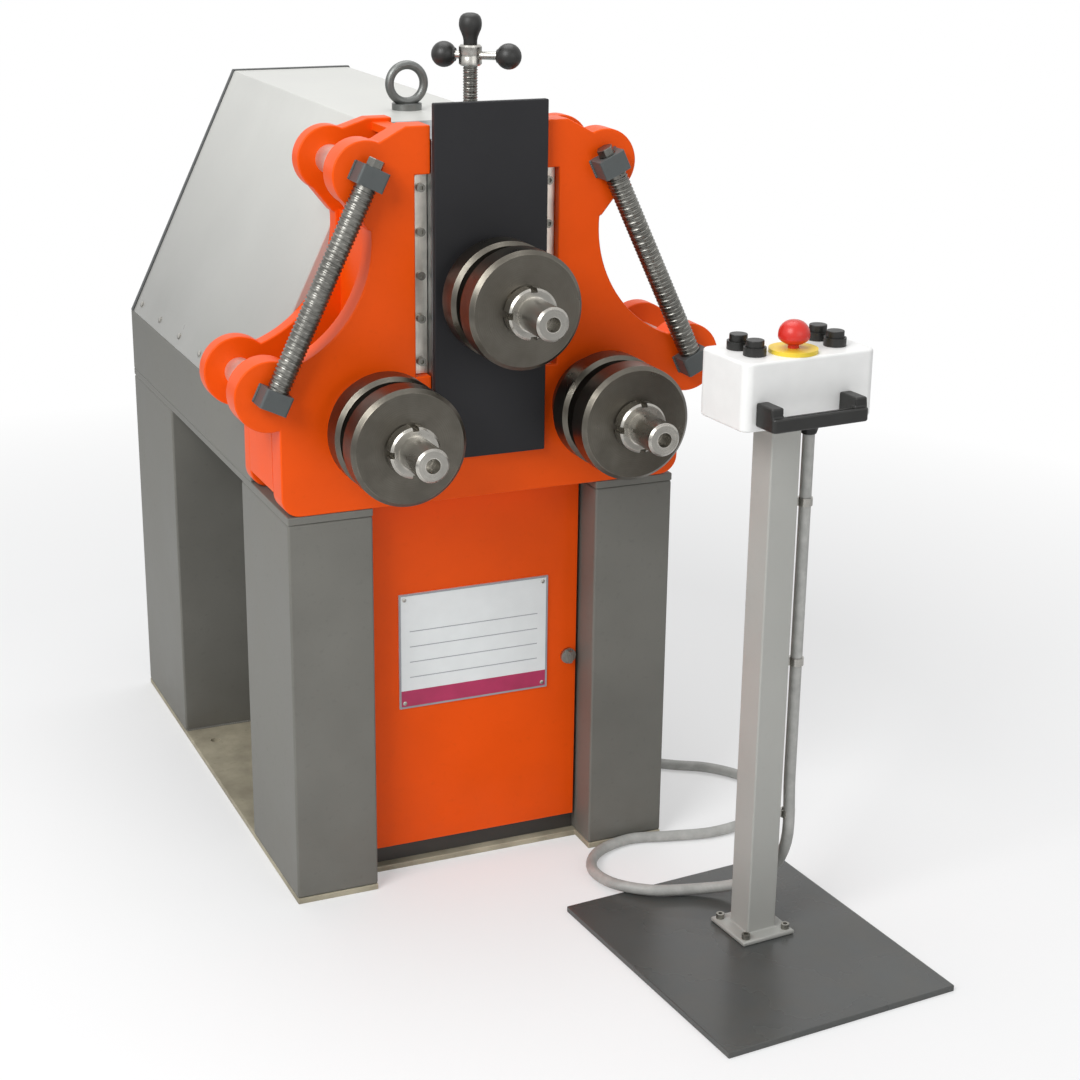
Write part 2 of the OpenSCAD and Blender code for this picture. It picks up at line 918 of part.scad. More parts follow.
module bearing_cover(y_to) {
    difference() {
        rod_along_y(bearing_cover_d, y_to - bearing_cover_t, y_to);
        rod_along_y(shaft_d + 4 * gap, y_to - bearing_cover_t - eps, y_to + eps);
        translate([0, y_to, 0])
            at_bearing_cover_screws()
                translate([0, -bearing_cover_t, 0])
                    screw_hole(bearing_cover_t + eps);
    }
}

module lower_bearings() {
    color("silver")
        at_lower_axes() {
            bearing(front_bearing_w, front_bearing_y);
            bearing(rear_bearing_w, rear_bearing_y);
        }
}

module bearing_covers() {
    color("darkgray")
        at_lower_axes()
            bearing_cover(front_y);
}

module upper_bearings() {
    color("silver")
        at_upper_axis() {
            bearing(front_bearing_w, front_bearing_y);
            bearing(rear_bearing_w, upper_rear_bearing_y);
        }
}

module upper_bearing_cover() {
    color("darkgray")
        at_upper_axis()
            difference() {
                rod_along_y(bearing_cover_d, cover_y - bearing_cover_t, cover_y);
                rod_along_y(shaft_d + 4 * gap, cover_y - bearing_cover_t - eps, cover_y + eps);
            }
}

// Rolls and their drive

module roll_shaft(y_to, collar_to) {
    bevel = 3;
    color("lightgray")
        difference() {
            union() {
                rod_along_y(shaft_d, nut_y, y_to);
                rod_along_y(stub_d, shaft_front + bevel, nut_y + eps);
                translate([0, shaft_front, 0])
                    rotate([-90, 0, 0])
                        cylinder(d1 = stub_d - 2 * bevel, d2 = stub_d, h = bevel);
                rod_along_y(collar_shaft_d, roll_back, collar_to);
            }
            rod_along_y(centre_d, shaft_front - eps, shaft_front + 30);
        }
}

module roll_rings() {
    bore = shaft_d + 2 * fit;
    front_ring_y = roll_back - ring_stack;
    color("slategray") {
        translate([0, front_ring_y, 0])
            bevelled_ring(roll_d, bore, roll_w, roll_bevel);
        translate([0, front_ring_y + roll_w + ring_gap, 0])
            bevelled_ring(spacer_d, bore, spacer_w, 1);
        translate([0, roll_back - roll_w, 0])
            bevelled_ring(roll_d, bore, roll_w, roll_bevel);
    }
}

module roll_nut() {
    slot_w = 10;
    slot_depth = 6;
    color("silver")
        translate([0, nut_y, 0])
            difference() {
                bevelled_ring(nut_d, shaft_d + 2 * fit, nut_w, 3);
                for (a = [0 : 90 : 270])
                    rotate([0, a, 0])
                        translate([nut_d / 2 - slot_depth, -eps, -slot_w / 2])
                            cube([slot_depth + eps, nut_w + 2 * eps, slot_w]);
            }
}

// Involute tooth outline: half the tooth's angle at radius r, in degrees
function inv_deg(base_r, r) = let (a = acos(min(1, base_r / r))) tan(a) * 180 / PI - a;
function half_tooth(pitch_r, teeth, r) =
    let (base_r = pitch_r * cos(20))
    90 / teeth - backlash / 4 / pitch_r * 180 / PI + inv_deg(base_r, pitch_r) - inv_deg(base_r, r);

// Gear wheel turned about +Y, with a tooth, or with half_pitch a gap, on the X axis
module gear_wheel(pitch_r, teeth, bore, w, half_pitch) {
    root_r = pitch_r - 1.2 * gear_module;
    tip_r = pitch_r + gear_module;
    steps = 4;
    radii = [for (i = [0 : steps]) max(root_r, pitch_r * cos(20)) * (1 - i / steps) + tip_r * i / steps];
    flank = [for (r = radii) [r, half_tooth(pitch_r, teeth, r)]];
    half_root = half_tooth(pitch_r, teeth, radii[0]);
    tooth = concat(
        [[root_r, -half_root]],
        [for (f = flank) [f[0], -f[1]]],
        [for (i = [steps : -1 : 0]) [flank[i][0], flank[i][1]]],
        [[root_r, half_root]]
    );
    turn = half_pitch ? 180 / teeth : 0;
    outline = [
        for (k = [0 : teeth - 1])
            for (p = tooth)
                let (a = k * 360 / teeth + turn + p[1])
                [p[0] * cos(a), p[0] * sin(a)]
    ];
    translate([0, w, 0])
        rotate([90, 0, 0])
            linear_extrude(height = w)
                difference() {
                    polygon(outline);
                    circle(d = bore);
                }
}

module roll_gear() {
    color("peru")
        translate([0, gear_y, 0])
            gear_wheel(roll_pitch_r, roll_teeth, shaft_d + 2 * fit, gear_w, true);
}

module upper_shaft() {
    at_upper_axis()
        roll_shaft(slide_back - 3, collar_y);
}

module upper_roll_rings() {
    at_upper_axis()
        roll_rings();
}

module upper_roll_nut() {
    at_upper_axis()
        roll_nut();
}

module left_shaft() {
    at_left_axis()
        roll_shaft(gear_back, front_y - bearing_cover_t - 1);
}

module left_roll_rings() {
    at_left_axis()
        roll_rings();
}

module left_roll_nut() {
    at_left_axis()
        roll_nut();
}

module left_gear() {
    at_left_axis()
        roll_gear();
}

module right_shaft() {
    at_right_axis()
        roll_shaft(gear_back, front_y - bearing_cover_t - 1);
}

module right_roll_rings() {
    at_right_axis()
        roll_rings();
}

module right_roll_nut() {
    at_right_axis()
        roll_nut();
}

module right_gear() {
    at_right_axis()
        roll_gear();
}

module drive_gear() {
    color("peru")
        translate([0, 0, lower_z]) {
            translate([0, gear_y, 0])
                gear_wheel(drive_pitch_r, drive_teeth, drive_shaft_d - 2, gear_w, false);
            rod_along_y(drive_shaft_d, gear_y, case_y + drive_in);
        }
}

module gear_motor() {
    motor_y = case_y + case_l;
    terminal = [90, 110, 46];
    color("steelblue")
        difference() {
            union() {
                translate([-case_w / 2, case_y, foot_z])
                    cube([case_w, case_l, lower_axis_h + case_above]);
                translate([0, 0, lower_z])
                    rod_along_y(motor_d, motor_y, motor_y + motor_l);
                translate([-terminal[0] / 2, motor_y + 50, lower_z])
                    cube([terminal[0], terminal[1], motor_d / 2 + terminal[2]]);
                translate([-case_w / 4, motor_y, foot_z])
                    cube([case_w / 2, motor_l - 40, lower_axis_h]);
            }
            translate([0, 0, lower_z])
                rod_along_y(drive_shaft_d + 2 * fit, case_y - eps, case_y + drive_in + gap);
        }
}

// Hydraulics

module cylinder_barrel() {
    inner_d = barrel_d - 2 * barrel_wall;
    color("dimgray")
        difference() {
            union() {
                translate([0, rod_y, barrel_z])
                    cylinder(d = barrel_d, h = barrel_l);
                translate([0, rod_y, leg_top - barrel_flange_t])
                    cylinder(d = barrel_flange_d, h = barrel_flange_t);
                for (z = [pipe_low_z, pipe_high_z])
                    translate([0, 0, z])
                        rod_along_y(
                            port_d, rod_y + (barrel_d - barrel_wall) / 2, rod_y + barrel_d / 2 + port_out
                        );
            }
            translate([0, rod_y, barrel_z + barrel_cap_t])
                cylinder(d = inner_d, h = barrel_l - barrel_cap_t - barrel_flange_t);
            translate([0, rod_y, leg_top - barrel_flange_t - eps])
                cylinder(d = rod_d + 2 * fit, h = barrel_flange_t + 2 * eps);
        }
}

module cylinder_rod() {
    color("lightgray") {
        translate([0, rod_y, piston_z])
            cylinder(d = rod_d, h = slide_z - piston_z);
        translate([0, rod_y, piston_z])
            cylinder(d = barrel_d - 2 * barrel_wall - 2 * fit, h = piston_h);
    }
}

module power_unit_tank() {
    color("slategray") {
        translate([-tank_w / 2, tank_y, base_t])
            cube([tank_w, tank_l, tank_h]);
        translate([-manifold[0] / 2, tank_y + manifold_in, base_t + tank_h - eps])
            cube([manifold[0], manifold[1], manifold[2] + eps]);
    }
}

module pump_motor() {
    color("steelblue")
        translate([0, tank_y + tank_l - pump_d / 2 - 20, base_t + tank_h])
            cylinder(d = pump_d, h = pump_h);
}

// Bent pipe: up from the manifold and forward to a port of the cylinder
module oil_pipe(back, z) {
    manifold_top = base_t + tank_h + manifold[2];
    port_face = rod_y + barrel_d / 2 + port_out;
    translate([0, back, manifold_top])
        cylinder(d = pipe_d, h = z - manifold_top);
    translate([0, back, z])
        sphere(d = pipe_d);
    translate([0, 0, z])
        rod_along_y(pipe_d, port_face, back);
}

module hydraulic_pipes() {
    color("darkslategray") {
        oil_pipe(tank_y + manifold_in + manifold[1] / 4, pipe_low_z);
        oil_pipe(tank_y + manifold_in + manifold[1] * 3 / 4, pipe_high_z);
    }
}

// Slide

module slide_block() {
    flange_y = front_y + front_plate_t + slide_end_play / 2;
    block_y = front_y - slide_end_play;
    color("darkslategray")
        difference() {
            union() {
                translate([-slide_w / 2, block_y, slide_z])
                    cube([slide_w, slide_back - block_y, slide_h]);
                translate([-slide_w / 2 - slide_flange, flange_y, slide_z])
                    cube([slide_w + 2 * slide_flange, plate_room - slide_end_play, flange_z - slide_z]);
            }
            at_upper_axis() {
                rod_along_y(shaft_d + 8, block_y - eps, slide_back + eps);
                rod_along_y(bearing_d + 2 * fit, block_y - eps, front_bearing_y + front_bearing_w);
                rod_along_y(bearing_d + 2 * fit, upper_rear_bearing_y, slide_back + eps);
            }
            translate([0, stop_y, slide_top - stop_depth])
                cylinder(d = stop_d + 2 * fit, h = stop_depth + eps);
        }
}

module slide_cover() {
    color([0.22, 0.22, 0.23])
        difference() {
            translate([-slide_w / 2, cover_y, cover_z])
                cube([slide_w, cover_t, cover_h]);
            at_upper_axis()
                rod_along_y(shaft_d + 8, cover_y - eps, cover_y + cover_t + eps);
        }
}

module stop_screw() {
    color("gray") {
        translate([0, stop_y, slide_top - stop_depth + gap])
            cylinder(d = stop_d, h = stop_depth + bar_h - gap);
        translate([0, stop_y, bar_z - hub_h / 2])
            cylinder(d = hub_d, h = hub_h);
        at_cross_bar()
            translate([bar_shift - bar_l / 2, 0, 0])
                rotate([0, 90, 0])
                    cylinder(d = bar_d, h = bar_l);
    }
}

module handle_knobs() {
    bore = bar_d + 2 * fit;
    grip = 0.3 * ball_d;
    color([0.1, 0.1, 0.1]) {
        at_cross_bar()
            for (end = [-1, 1])
                difference() {
                    translate([bar_shift + end * (bar_l / 2 + ball_d / 2 - grip), 0, 0])
                        rotate([0, 0, 90 * (1 - end)])
                            sphere(d = ball_d);
                    translate([bar_shift - bar_l / 2 - fit, 0, 0])
                        rotate([0, 90, 0])
                            cylinder(d = bore, h = bar_l + 2 * fit);
                }
        translate([0, stop_y, bar_z + hub_h / 2])
            rotate_extrude()
                polygon([
                    [0, 0], [knob_d * 0.3, 0], [knob_d * 0.36, knob_h * 0.3], [knob_d / 2, knob_h * 0.5],
                    [knob_d / 2, knob_h * 0.8], [knob_d * 0.36, knob_h], [0, knob_h],
                ]);
    }
}

// Guide spindles

// Blocks welded to the lugs, in which the spindles turn
module spindle_end_blocks() {
    color([0.25, 0.25, 0.26])
        difference() {
            for (side = [-1, 1], end = [0, spindle_l])
                at_spindle(side)
                    translate([0, 0, end - block_l / 2])
                        round_block(block_w, block_t, block_l, block_r);
            for (side = [-1, 1])
                at_spindle(side)
                    translate([0, 0, -block_l])
                        cylinder(d = journal_d + 2 * fit, h = spindle_l + 2 * block_l);
        }
}

module guide_spindle(side) {
    half = block_l / 2;
    color("gray")
        at_spindle(side) {
            translate([0, 0, -half])
                cylinder(d = journal_d, h = spindle_l + 2 * half + gap);
            translate([0, 0, half + gap])
                cylinder(d = spindle_d, h = spindle_l - 2 * half - 2 * gap);
            translate([0, 0, spindle_l + half + gap])
                cylinder(d = hex_d, h = hex_h, $fn = 6);
        }
}

module left_spindle() {
    guide_spindle(-1);
}

module right_spindle() {
    guide_spindle(1);
}

// Door

// Pin and fixed half of a door hinge, carried by the leg
module door_hinges() {
    color("silver")
        for (z = hinge_zs) {
            translate([hinge_x, hinge_y, z])
                cylinder(d = hinge_d, h = hinge_knuckle);
            translate([hinge_x, hinge_y, z])
                cylinder(d = hinge_pin_d, h = 2 * hinge_knuckle);
            translate([-leg_in_x, hinge_y - hinge_d / 4, z])
                cube([hinge_x + leg_in_x, hinge_d / 2, hinge_knuckle]);
        }
}

module door_panel() {
    color("orangered")
        difference() {
            union() {
                translate([door_left, door_y, door_z])
                    cube([door_right - door_left, door_t, door_top - door_z]);
                for (z = hinge_zs) {
                    translate([hinge_x, hinge_y, z + hinge_knuckle + gap])
                        cylinder(d = hinge_d, h = hinge_knuckle - gap);
                    translate([hinge_x, door_y, z + hinge_knuckle + gap])
                        cube([door_left - hinge_x + eps, door_t, hinge_knuckle - gap]);
                }
            }
            for (z = hinge_zs)
                translate([hinge_x, hinge_y, z])
                    cylinder(d = hinge_pin_d + 2 * fit, h = 2 * hinge_knuckle + eps);
            translate([latch_x, 0, latch_z])
                rod_along_y(latch_stem_d + 2 * fit, door_y - eps, door_y + door_t + eps);
        }
}

module name_plate() {
    color("white")
        translate([-plate_w / 2, door_y - name_plate_t, plate_z - plate_h / 2])
            cube([plate_w, name_plate_t, plate_h]);
}

module door_latch() {
    grip = [6, 8, 20];
    cam = [8, 4, leg_in_x - wall_t - latch_x - 1];
    cam_y = lip_y + wall_t + gap;
    color("silver")
        translate([latch_x, 0, latch_z]) {
            rod_along_y(latch_d, door_y - gap - 5, door_y - gap);
            rod_along_y(latch_stem_d, door_y - gap - 1, cam_y + cam[1]);
            translate([-grip[0] / 2, door_y - gap - 5 - grip[1], -grip[2] / 2])
                cube([grip[0], grip[1] + eps, grip[2]]);
            translate([-cam[0] / 2, cam_y, 0])
                cube(cam);
        }
}

// Control stand

module pedestal_plate() {
    color([0.28, 0.29, 0.29])
        difference() {
            at_stand()
                translate([stand_shift[0] - stand_w / 2, stand_shift[1] - stand_d / 2, 0])
                    cube([stand_w, stand_d, stand_t]);
            at_flange_bolts()
                translate([0, flange_t, 0])
                    screw_hole(stand_t / 2);
        }
}

module pedestal_post() {
    color("silver")
        difference() {
            at_stand() {
                translate([-flange_w / 2, -flange_w / 2, stand_t])
                    cube([flange_w, flange_w, flange_t]);
                translate([-post_w / 2, -post_w / 2, flange_top - eps])
                    box_tube(post_w, post_w, box_z - flange_top + eps, post_wall);
            }
            at_flange_bolts()
                screw_hole(flange_t + eps);
        }
}

module control_box() {
    color("whitesmoke")
        at_box()
            difference() {
                round_block(box_w, box_d, box_h, box_r);
                translate([0, 0, -eps])
                    round_block(
                        box_w - 2 * box_wall, box_d - 2 * box_wall, box_h - box_wall + eps, box_r - box_wall
                    );
                translate([estop_at[0], estop_at[1], 0])
                    cylinder(d = button_stem_d + 2 * gap, h = box_h + eps);
                for (p = button_at)
                    translate([p[0], p[1], 0])
                        cylinder(d = button_stem_d + 2 * gap, h = box_h + eps);
            }
}

module box_floor() {
    color("lightgray")
        at_box()
            round_block(box_w - 2 * box_wall - gap, box_d - 2 * box_wall - gap, box_wall, box_r - box_wall);
}

module box_handle() {
    arm_t = 20;
    color([0.1, 0.1, 0.1])
        at_box()
            translate([-box_shift, -box_d / 2, handle_z - box_z]) {
                translate([-handle_w / 2 + handle_bar_t / 2, -handle_out, 0])
                    cube([handle_w - handle_bar_t, handle_bar_t, handle_h]);
                for (side = [-1, 1]) {
                    translate([side * (handle_w - handle_bar_t) / 2, -handle_out + handle_bar_t / 2, 0])
                        cylinder(d = handle_bar_t, h = handle_h);
                    translate([side * (handle_w - arm_t) / 2 - arm_t / 2, -handle_out + handle_bar_t / 2, 0])
                        cube([arm_t, handle_out - handle_bar_t / 2, arm_h]);
                }
            }
}

module estop_collar() {
    color("gold")
        at_box()
            translate([estop_at[0], estop_at[1], box_h])
                difference() {
                    cylinder(d = collar_d, h = collar_t);
                    translate([0, 0, -eps])
                        cylinder(d = button_stem_d + 2 * gap, h = collar_t + 2 * eps);
                }
}

module estop_button() {
    lift = collar_t + estop_travel + 1;
    r = estop_d / 2;
    color("red")
        at_box()
            translate([estop_at[0], estop_at[1], box_h]) {
                translate([0, 0, -box_wall - 6])
                    cylinder(d = button_stem_d, h = lift + box_wall + 6 + eps);
                translate([0, 0, lift])
                    rotate_extrude()
                        polygon([
                            [0, 0], [r * 0.8, 0], [r, estop_h * 0.2], [r, estop_h * 0.45],
                            [r * 0.9, estop_h * 0.68], [r * 0.62, estop_h * 0.9], [0, estop_h],
                        ]);
            }
}

module push_button(i) {
    lift = button_travel + 1;
    cap_h = 17;
    color([0.12, 0.12, 0.12])
        at_box()
            translate([button_at[i][0], button_at[i][1], box_h]) {
                translate([0, 0, -box_wall - 6])
                    cylinder(d = button_stem_d, h = lift + box_wall + 6 + eps);
                translate([0, 0, lift])
                    cylinder(d = button_d, h = cap_h);
            }
}

module push_button_left_rear() {
    push_button(0);
}

module push_button_left_front() {
    push_button(1);
}

module push_button_right_rear() {
    push_button(2);
}

module push_button_right_front() {
    push_button(3);
}

// Control cable

module gland_body() {
    cylinder(d = gland_d, h = gland_l * 0.6, $fn = 6);
    cylinder(d = gland_d * 0.8, h = gland_l);
}

module cable_glands() {
    color([0.2, 0.2, 0.2]) {
        translate(from_front(gland_at))
            rotate([0, 90, 0])
                gland_body();
        translate(cable_end + [0, 0, gland_l])
            rotate([180, 0, 0])
                gland_body();
    }
}

// Point on a smooth curve through four neighbouring route points
function curve_point(a, b, c, d, t) =
    0.5 * (2 * b + (c - a) * t + (2 * a - 5 * b + 4 * c - d) * t * t + (3 * b - a - 3 * c + d) * t * t * t);

// Smooth line through the route points, with a few steps between neighbours
function smooth_route(pts, steps) = concat(
    [
        for (i = [0 : len(pts) - 2])
            let (
                a = i == 0 ? 2 * pts[0] - pts[1] : pts[i - 1],
                d = i == len(pts) - 2 ? 2 * pts[i + 1] - pts[i] : pts[i + 2]
            )
            for (k = [0 : steps - 1])
                curve_point(a, pts[i], pts[i + 1], d, k / steps)
    ],
    [pts[len(pts) - 1]]
);

function unit(v) = v / norm(v);
function line_dir(pts, i) = unit(pts[min(i + 1, len(pts) - 1)] - pts[max(i - 1, 0)]);
function square_to(v, dir) = unit(v - (v * dir) * dir);

// Tube of the given diameter along a line of points, as one closed body
module tube_along(pts, d, sides) {
    count = len(pts);
    normals = [
        for (i = 0, n = square_to([0, 0, 1], line_dir(pts, 0));
             i < count;
             i = i + 1, n = square_to(n, line_dir(pts, min(i, count - 1)))) n
    ];
    ring_points = [
        for (i = [0 : count - 1])
            let (n = normals[i], b = cross(line_dir(pts, i), n))
            for (s = [0 : sides - 1])
                let (a = s * 360 / sides)
                pts[i] + d / 2 * (cos(a) * n + sin(a) * b)
    ];
    walls = [
        for (i = [0 : count - 2], s = [0 : sides - 1])
            let (p = i * sides + s, q = i * sides + (s + 1) % sides)
            each [[p, p + sides, q], [q, p + sides, q + sides]]
    ];
    last = (count - 1) * sides;
    caps = [for (s = [1 : sides - 2]) each [[0, s, s + 1], [last, last + s + 1, last + s]]];
    polyhedron(points = ring_points, faces = concat(walls, caps));
}

module control_cable() {
    color("lightgray")
        tube_along(smooth_route(cable_points, 2), cable_d, 10);
}

base_plate();
frame_legs();
deck_plate();
top_rails();
cabinet_walls();
head_front_plate();
head_rear_plate();
head_box_plates();
gib_strips();
cap_screws();
lug_tie_bars();
casing_hood();
casing_rear_panel();
lifting_eye();
lower_bearings();
bearing_covers();
gear_motor();
cylinder_barrel();
power_unit_tank();
pump_motor();
hydraulic_pipes();
spindle_end_blocks();
door_hinges();
pedestal_plate();
pedestal_post();
control_box();
box_floor();
box_handle();
estop_collar();
cable_glands();
control_cable();
slide_block();
slide_cover();
upper_bearings();
upper_bearing_cover();
cylinder_rod();
upper_shaft();
upper_roll_rings();
upper_roll_nut();
left_shaft();
left_roll_rings();
left_roll_nut();
left_gear();
right_shaft();
right_roll_rings();
right_roll_nut();
right_gear();
drive_gear();
left_spindle();
right_spindle();
stop_screw();
handle_knobs();
door_panel();
name_plate();
door_latch();
estop_button();
push_button_left_rear();
push_button_left_front();
push_button_right_rear();
push_button_right_front();
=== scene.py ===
import math

import bmesh
import bpy
from mathutils import Matrix, Vector


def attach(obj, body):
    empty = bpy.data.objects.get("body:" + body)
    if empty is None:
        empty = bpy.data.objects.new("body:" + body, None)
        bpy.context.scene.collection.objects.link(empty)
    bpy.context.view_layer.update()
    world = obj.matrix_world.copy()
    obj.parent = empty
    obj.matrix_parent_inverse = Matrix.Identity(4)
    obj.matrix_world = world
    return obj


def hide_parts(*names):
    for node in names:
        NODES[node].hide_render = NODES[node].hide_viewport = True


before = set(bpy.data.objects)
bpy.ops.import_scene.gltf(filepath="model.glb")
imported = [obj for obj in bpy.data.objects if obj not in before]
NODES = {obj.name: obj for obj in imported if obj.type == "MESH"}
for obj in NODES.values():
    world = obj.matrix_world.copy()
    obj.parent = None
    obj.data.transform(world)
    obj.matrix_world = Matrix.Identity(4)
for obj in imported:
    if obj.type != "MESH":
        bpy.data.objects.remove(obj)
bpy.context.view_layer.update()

# Driving places and sizes of the machine, in metres

# Head, rolls and slide
FRONT_Y = -0.490
UPPER_AXIS = (0.0, 0.964)
LEFT_AXIS = (-0.180, 0.778)
RIGHT_AXIS = (0.180, 0.778)
SLIDE_TOP = 1.193
UPPER_COVER_Y = FRONT_Y - 0.022

# Stop screw and its handle
STOP_Y = -0.418
STOP_DEPTH = 0.110
BAR_Z = 1.302
BAR_TURN = -38
BAR_SHIFT = 0.009
BAR_LENGTH = 0.084
HUB_HEIGHT = 0.030
BALL_RADIUS = 0.019
BALL_SINK = 0.3 * 2 * BALL_RADIUS

# Control stand
STAND_PLACE = Matrix.Translation((0.302, -0.843, 0)) @ Matrix.Rotation(math.radians(4.5), 4, "Z")
BOX_PLACE = STAND_PLACE @ Matrix.Translation((0.012, 0, 0.832))
BOX_HEIGHT = 0.098
ESTOP_SPOT = (-0.008, -0.023)
BUTTON_SPREAD = (0.136, 0.042)
BUTTON_SHIFT = 0.005
CLIP_SEAT = (0.0252, -0.004, 0)
CLIP_HEIGHTS = (0.20, 0.45, 0.70)

# Guide spindles and their end blocks
SPINDLE_FOOT = (0.341, -0.508, 0.832)
SPINDLE_RUN = (0.151, 0.314)
SPINDLE_LENGTH = math.hypot(*SPINDLE_RUN)
SPINDLE_TILT = math.atan2(*SPINDLE_RUN)
BLOCK_HALF = 0.015
BLOCK_WIDTH = 0.044
THREAD_GAP = 0.0003

# Hood and legs
HOOD_FOOT = (0.320, 0.756)
HOOD_SHOULDER = (0.110, 1.190)
LEG_INNER_X = 0.186
LEG_WELD_X = 0.3165
FRONT_LEG_DEPTH = 0.250
REAR_LEG_Y = 0.210
REAR_LEG_DEPTH = 0.280

# Name plate on the door
DOOR_SETBACK = 0.054
PLATE_THICKNESS = 0.002
PLATE_FACE_Y = FRONT_Y + DOOR_SETBACK - PLATE_THICKNESS
PLATE_HALF = (0.128, 0.097)
PLATE_Z = 0.381

# Control cable, with Y counted from the machine's front
CABLE_DIAMETER = 0.018
GLAND_LENGTH = 0.030
CABLE_START = (0.216, 0.340, 0.062)
CABLE_LEAD = 0.023
CABLE_FLOOR = [
    (0.313, 0.336, 0.057), (0.364, 0.312, 0.036), (0.403, 0.266, 0.013), (0.455, 0.225, 0.010),
    (0.511, 0.186, 0.011), (0.553, 0.130, 0.010), (0.561, 0.061, 0.010), (0.527, 0.001, 0.010),
    (0.466, -0.032, 0.010), (0.396, -0.042, 0.010), (0.326, -0.028, 0.010), (0.255, -0.012, 0.010),
    (0.187, -0.036, 0.011), (0.150, -0.092, 0.015), (0.155, -0.154, 0.019), (0.199, -0.203, 0.021),
    (0.264, -0.226, 0.021), (0.318, -0.256, 0.032), (0.349, -0.302, 0.065),
]
CABLE_LANE = (0.352, -0.357)
CABLE_LANE_HEIGHTS = [0.150, 0.260, 0.370, 0.480, 0.590, 0.700]
CABLE_TOP = 0.802


# Camera at the photograph's viewing angle

CAMERA_TURN = (-23.87, 18.89, 0.73)
CAMERA_PLACE = (-1.16583, -3.32831, 1.62136)
CAMERA_LENS = 69.51


def place_camera():
    azimuth, elevation, roll = (math.radians(angle) for angle in CAMERA_TURN)
    back = Vector((
        math.sin(azimuth) * math.cos(elevation),
        -math.cos(azimuth) * math.cos(elevation),
        math.sin(elevation),
    ))
    right = (-back).cross(Vector((0, 0, 1))).normalized()
    up = right.cross(-back)
    cam_x = math.cos(roll) * right + math.sin(roll) * up
    cam_y = -math.sin(roll) * right + math.cos(roll) * up
    data = bpy.data.cameras.new("photo_camera")
    data.sensor_width = 36
    data.lens = CAMERA_LENS
    data.clip_end = 60
    camera = bpy.data.objects.new("photo_camera", data)
    pose = Matrix((cam_x, cam_y, back)).transposed().to_4x4()
    pose.translation = CAMERA_PLACE
    camera.matrix_world = pose
    bpy.context.collection.objects.link(camera)
    bpy.context.scene.camera = camera


place_camera()


# Small tools for meshes

def add_object(name, mesh):
    piece = bpy.data.objects.new(name, mesh)
    bpy.context.collection.objects.link(piece)
    return piece


def mesh_from(bm, name, smooth_angle=35):
    mesh = bpy.data.meshes.new(name)
    bm.to_mesh(mesh)
    bm.free()
    mesh.shade_smooth()
    mesh.set_sharp_from_angle(angle=math.radians(smooth_angle))
    return mesh


def add_lathe(bm, profile, place, steps=48):
    """Turns (radius, height) points about local Z, at the given place. Ends on the axis are closed."""
    rings = []
    for radius, height in profile:
        if radius < 1e-7:
            rings.append([bm.verts.new(place @ Vector((0, 0, height)))])
            continue
        rings.append([
            bm.verts.new(place @ Vector((
                radius * math.cos(2 * math.pi * i / steps),
                radius * math.sin(2 * math.pi * i / steps),
                height,
            )))
            for i in range(steps)
        ])
    for low, high in zip(rings, rings[1:]):
        for i in range(steps):
            j = (i + 1) % steps
            if len(low) == 1:
                bm.faces.new((low[0], high[j], high[i]))
            elif len(high) == 1:
                bm.faces.new((low[i], low[j], high[0]))
            else:
                bm.faces.new((low[i], low[j], high[j], high[i]))
    if len(rings[0]) > 1 and len(rings[-1]) > 1 and profile[0] == profile[-1]:
        return
    for ring in (rings[0], rings[-1]):
        if len(ring) > 1:
            bm.faces.new(ring)


def add_hex(bm, radius, low, high, place, chamfer):
    """Hexagon bar along local Z with its two ends slightly chamfered."""
    narrow = radius - chamfer
    profile = [(narrow, low), (radius, low + chamfer), (radius, high - chamfer), (narrow, high)]
    add_lathe(bm, profile, place, steps=6)


def applied(piece):
    """Mesh of a piece with its modifiers applied. The modifiers are taken off."""
    depsgraph = bpy.context.evaluated_depsgraph_get()
    mesh = bpy.data.meshes.new_from_object(piece.evaluated_get(depsgraph), depsgraph=depsgraph)
    piece.modifiers.clear()
    return mesh


def turned(degrees, axis):
    return Matrix.Rotation(math.radians(degrees), 4, axis)


def facing_front(x, y, z):
    """Place whose local Z runs along the machine's -Y, towards the operator."""
    return Matrix.Translation((x, y, z)) @ turned(90, "X")


MERGE_DISTANCE = 1e-5
FLAT_ANGLE = math.radians(0.6)
SHARP_ANGLE = math.radians(32)


def eased_copy(node, width, shortest, segments):
    """Copy of a CAD node whose sharp, long edges are slightly rounded."""
    bm = bmesh.new()
    bm.from_mesh(NODES[node].data)
    bmesh.ops.remove_doubles(bm, verts=bm.verts, dist=MERGE_DISTANCE)
    bmesh.ops.dissolve_limit(bm, angle_limit=FLAT_ANGLE, verts=bm.verts, edges=bm.edges)
    sharp = [
        e for e in bm.edges
        if len(e.link_faces) == 2
        and e.calc_face_angle(0) > SHARP_ANGLE
        and e.calc_length() > shortest
    ]
    bmesh.ops.bevel(
        bm, geom=sharp, offset=width, offset_type="OFFSET", segments=segments,
        profile=0.5, affect="EDGES", clamp_overlap=False,
    )
    piece = add_object(node + "_eased", mesh_from(bm, node + "_eased", 40))
    flat = piece.modifiers.new("flat_faces", "WEIGHTED_NORMAL")
    flat.keep_sharp = True
    piece.data = applied(piece)
    piece.data.name = piece.name
    return piece


# Finishes

def new_finish(name):
    mat = bpy.data.materials.new(name)
    mat.use_nodes = True
    nt = mat.node_tree
    nt.nodes.clear()
    out = nt.nodes.new("ShaderNodeOutputMaterial")
    shader = nt.nodes.new("ShaderNodeBsdfPrincipled")
    nt.links.new(shader.outputs["BSDF"], out.inputs["Surface"])
    return mat, nt, shader


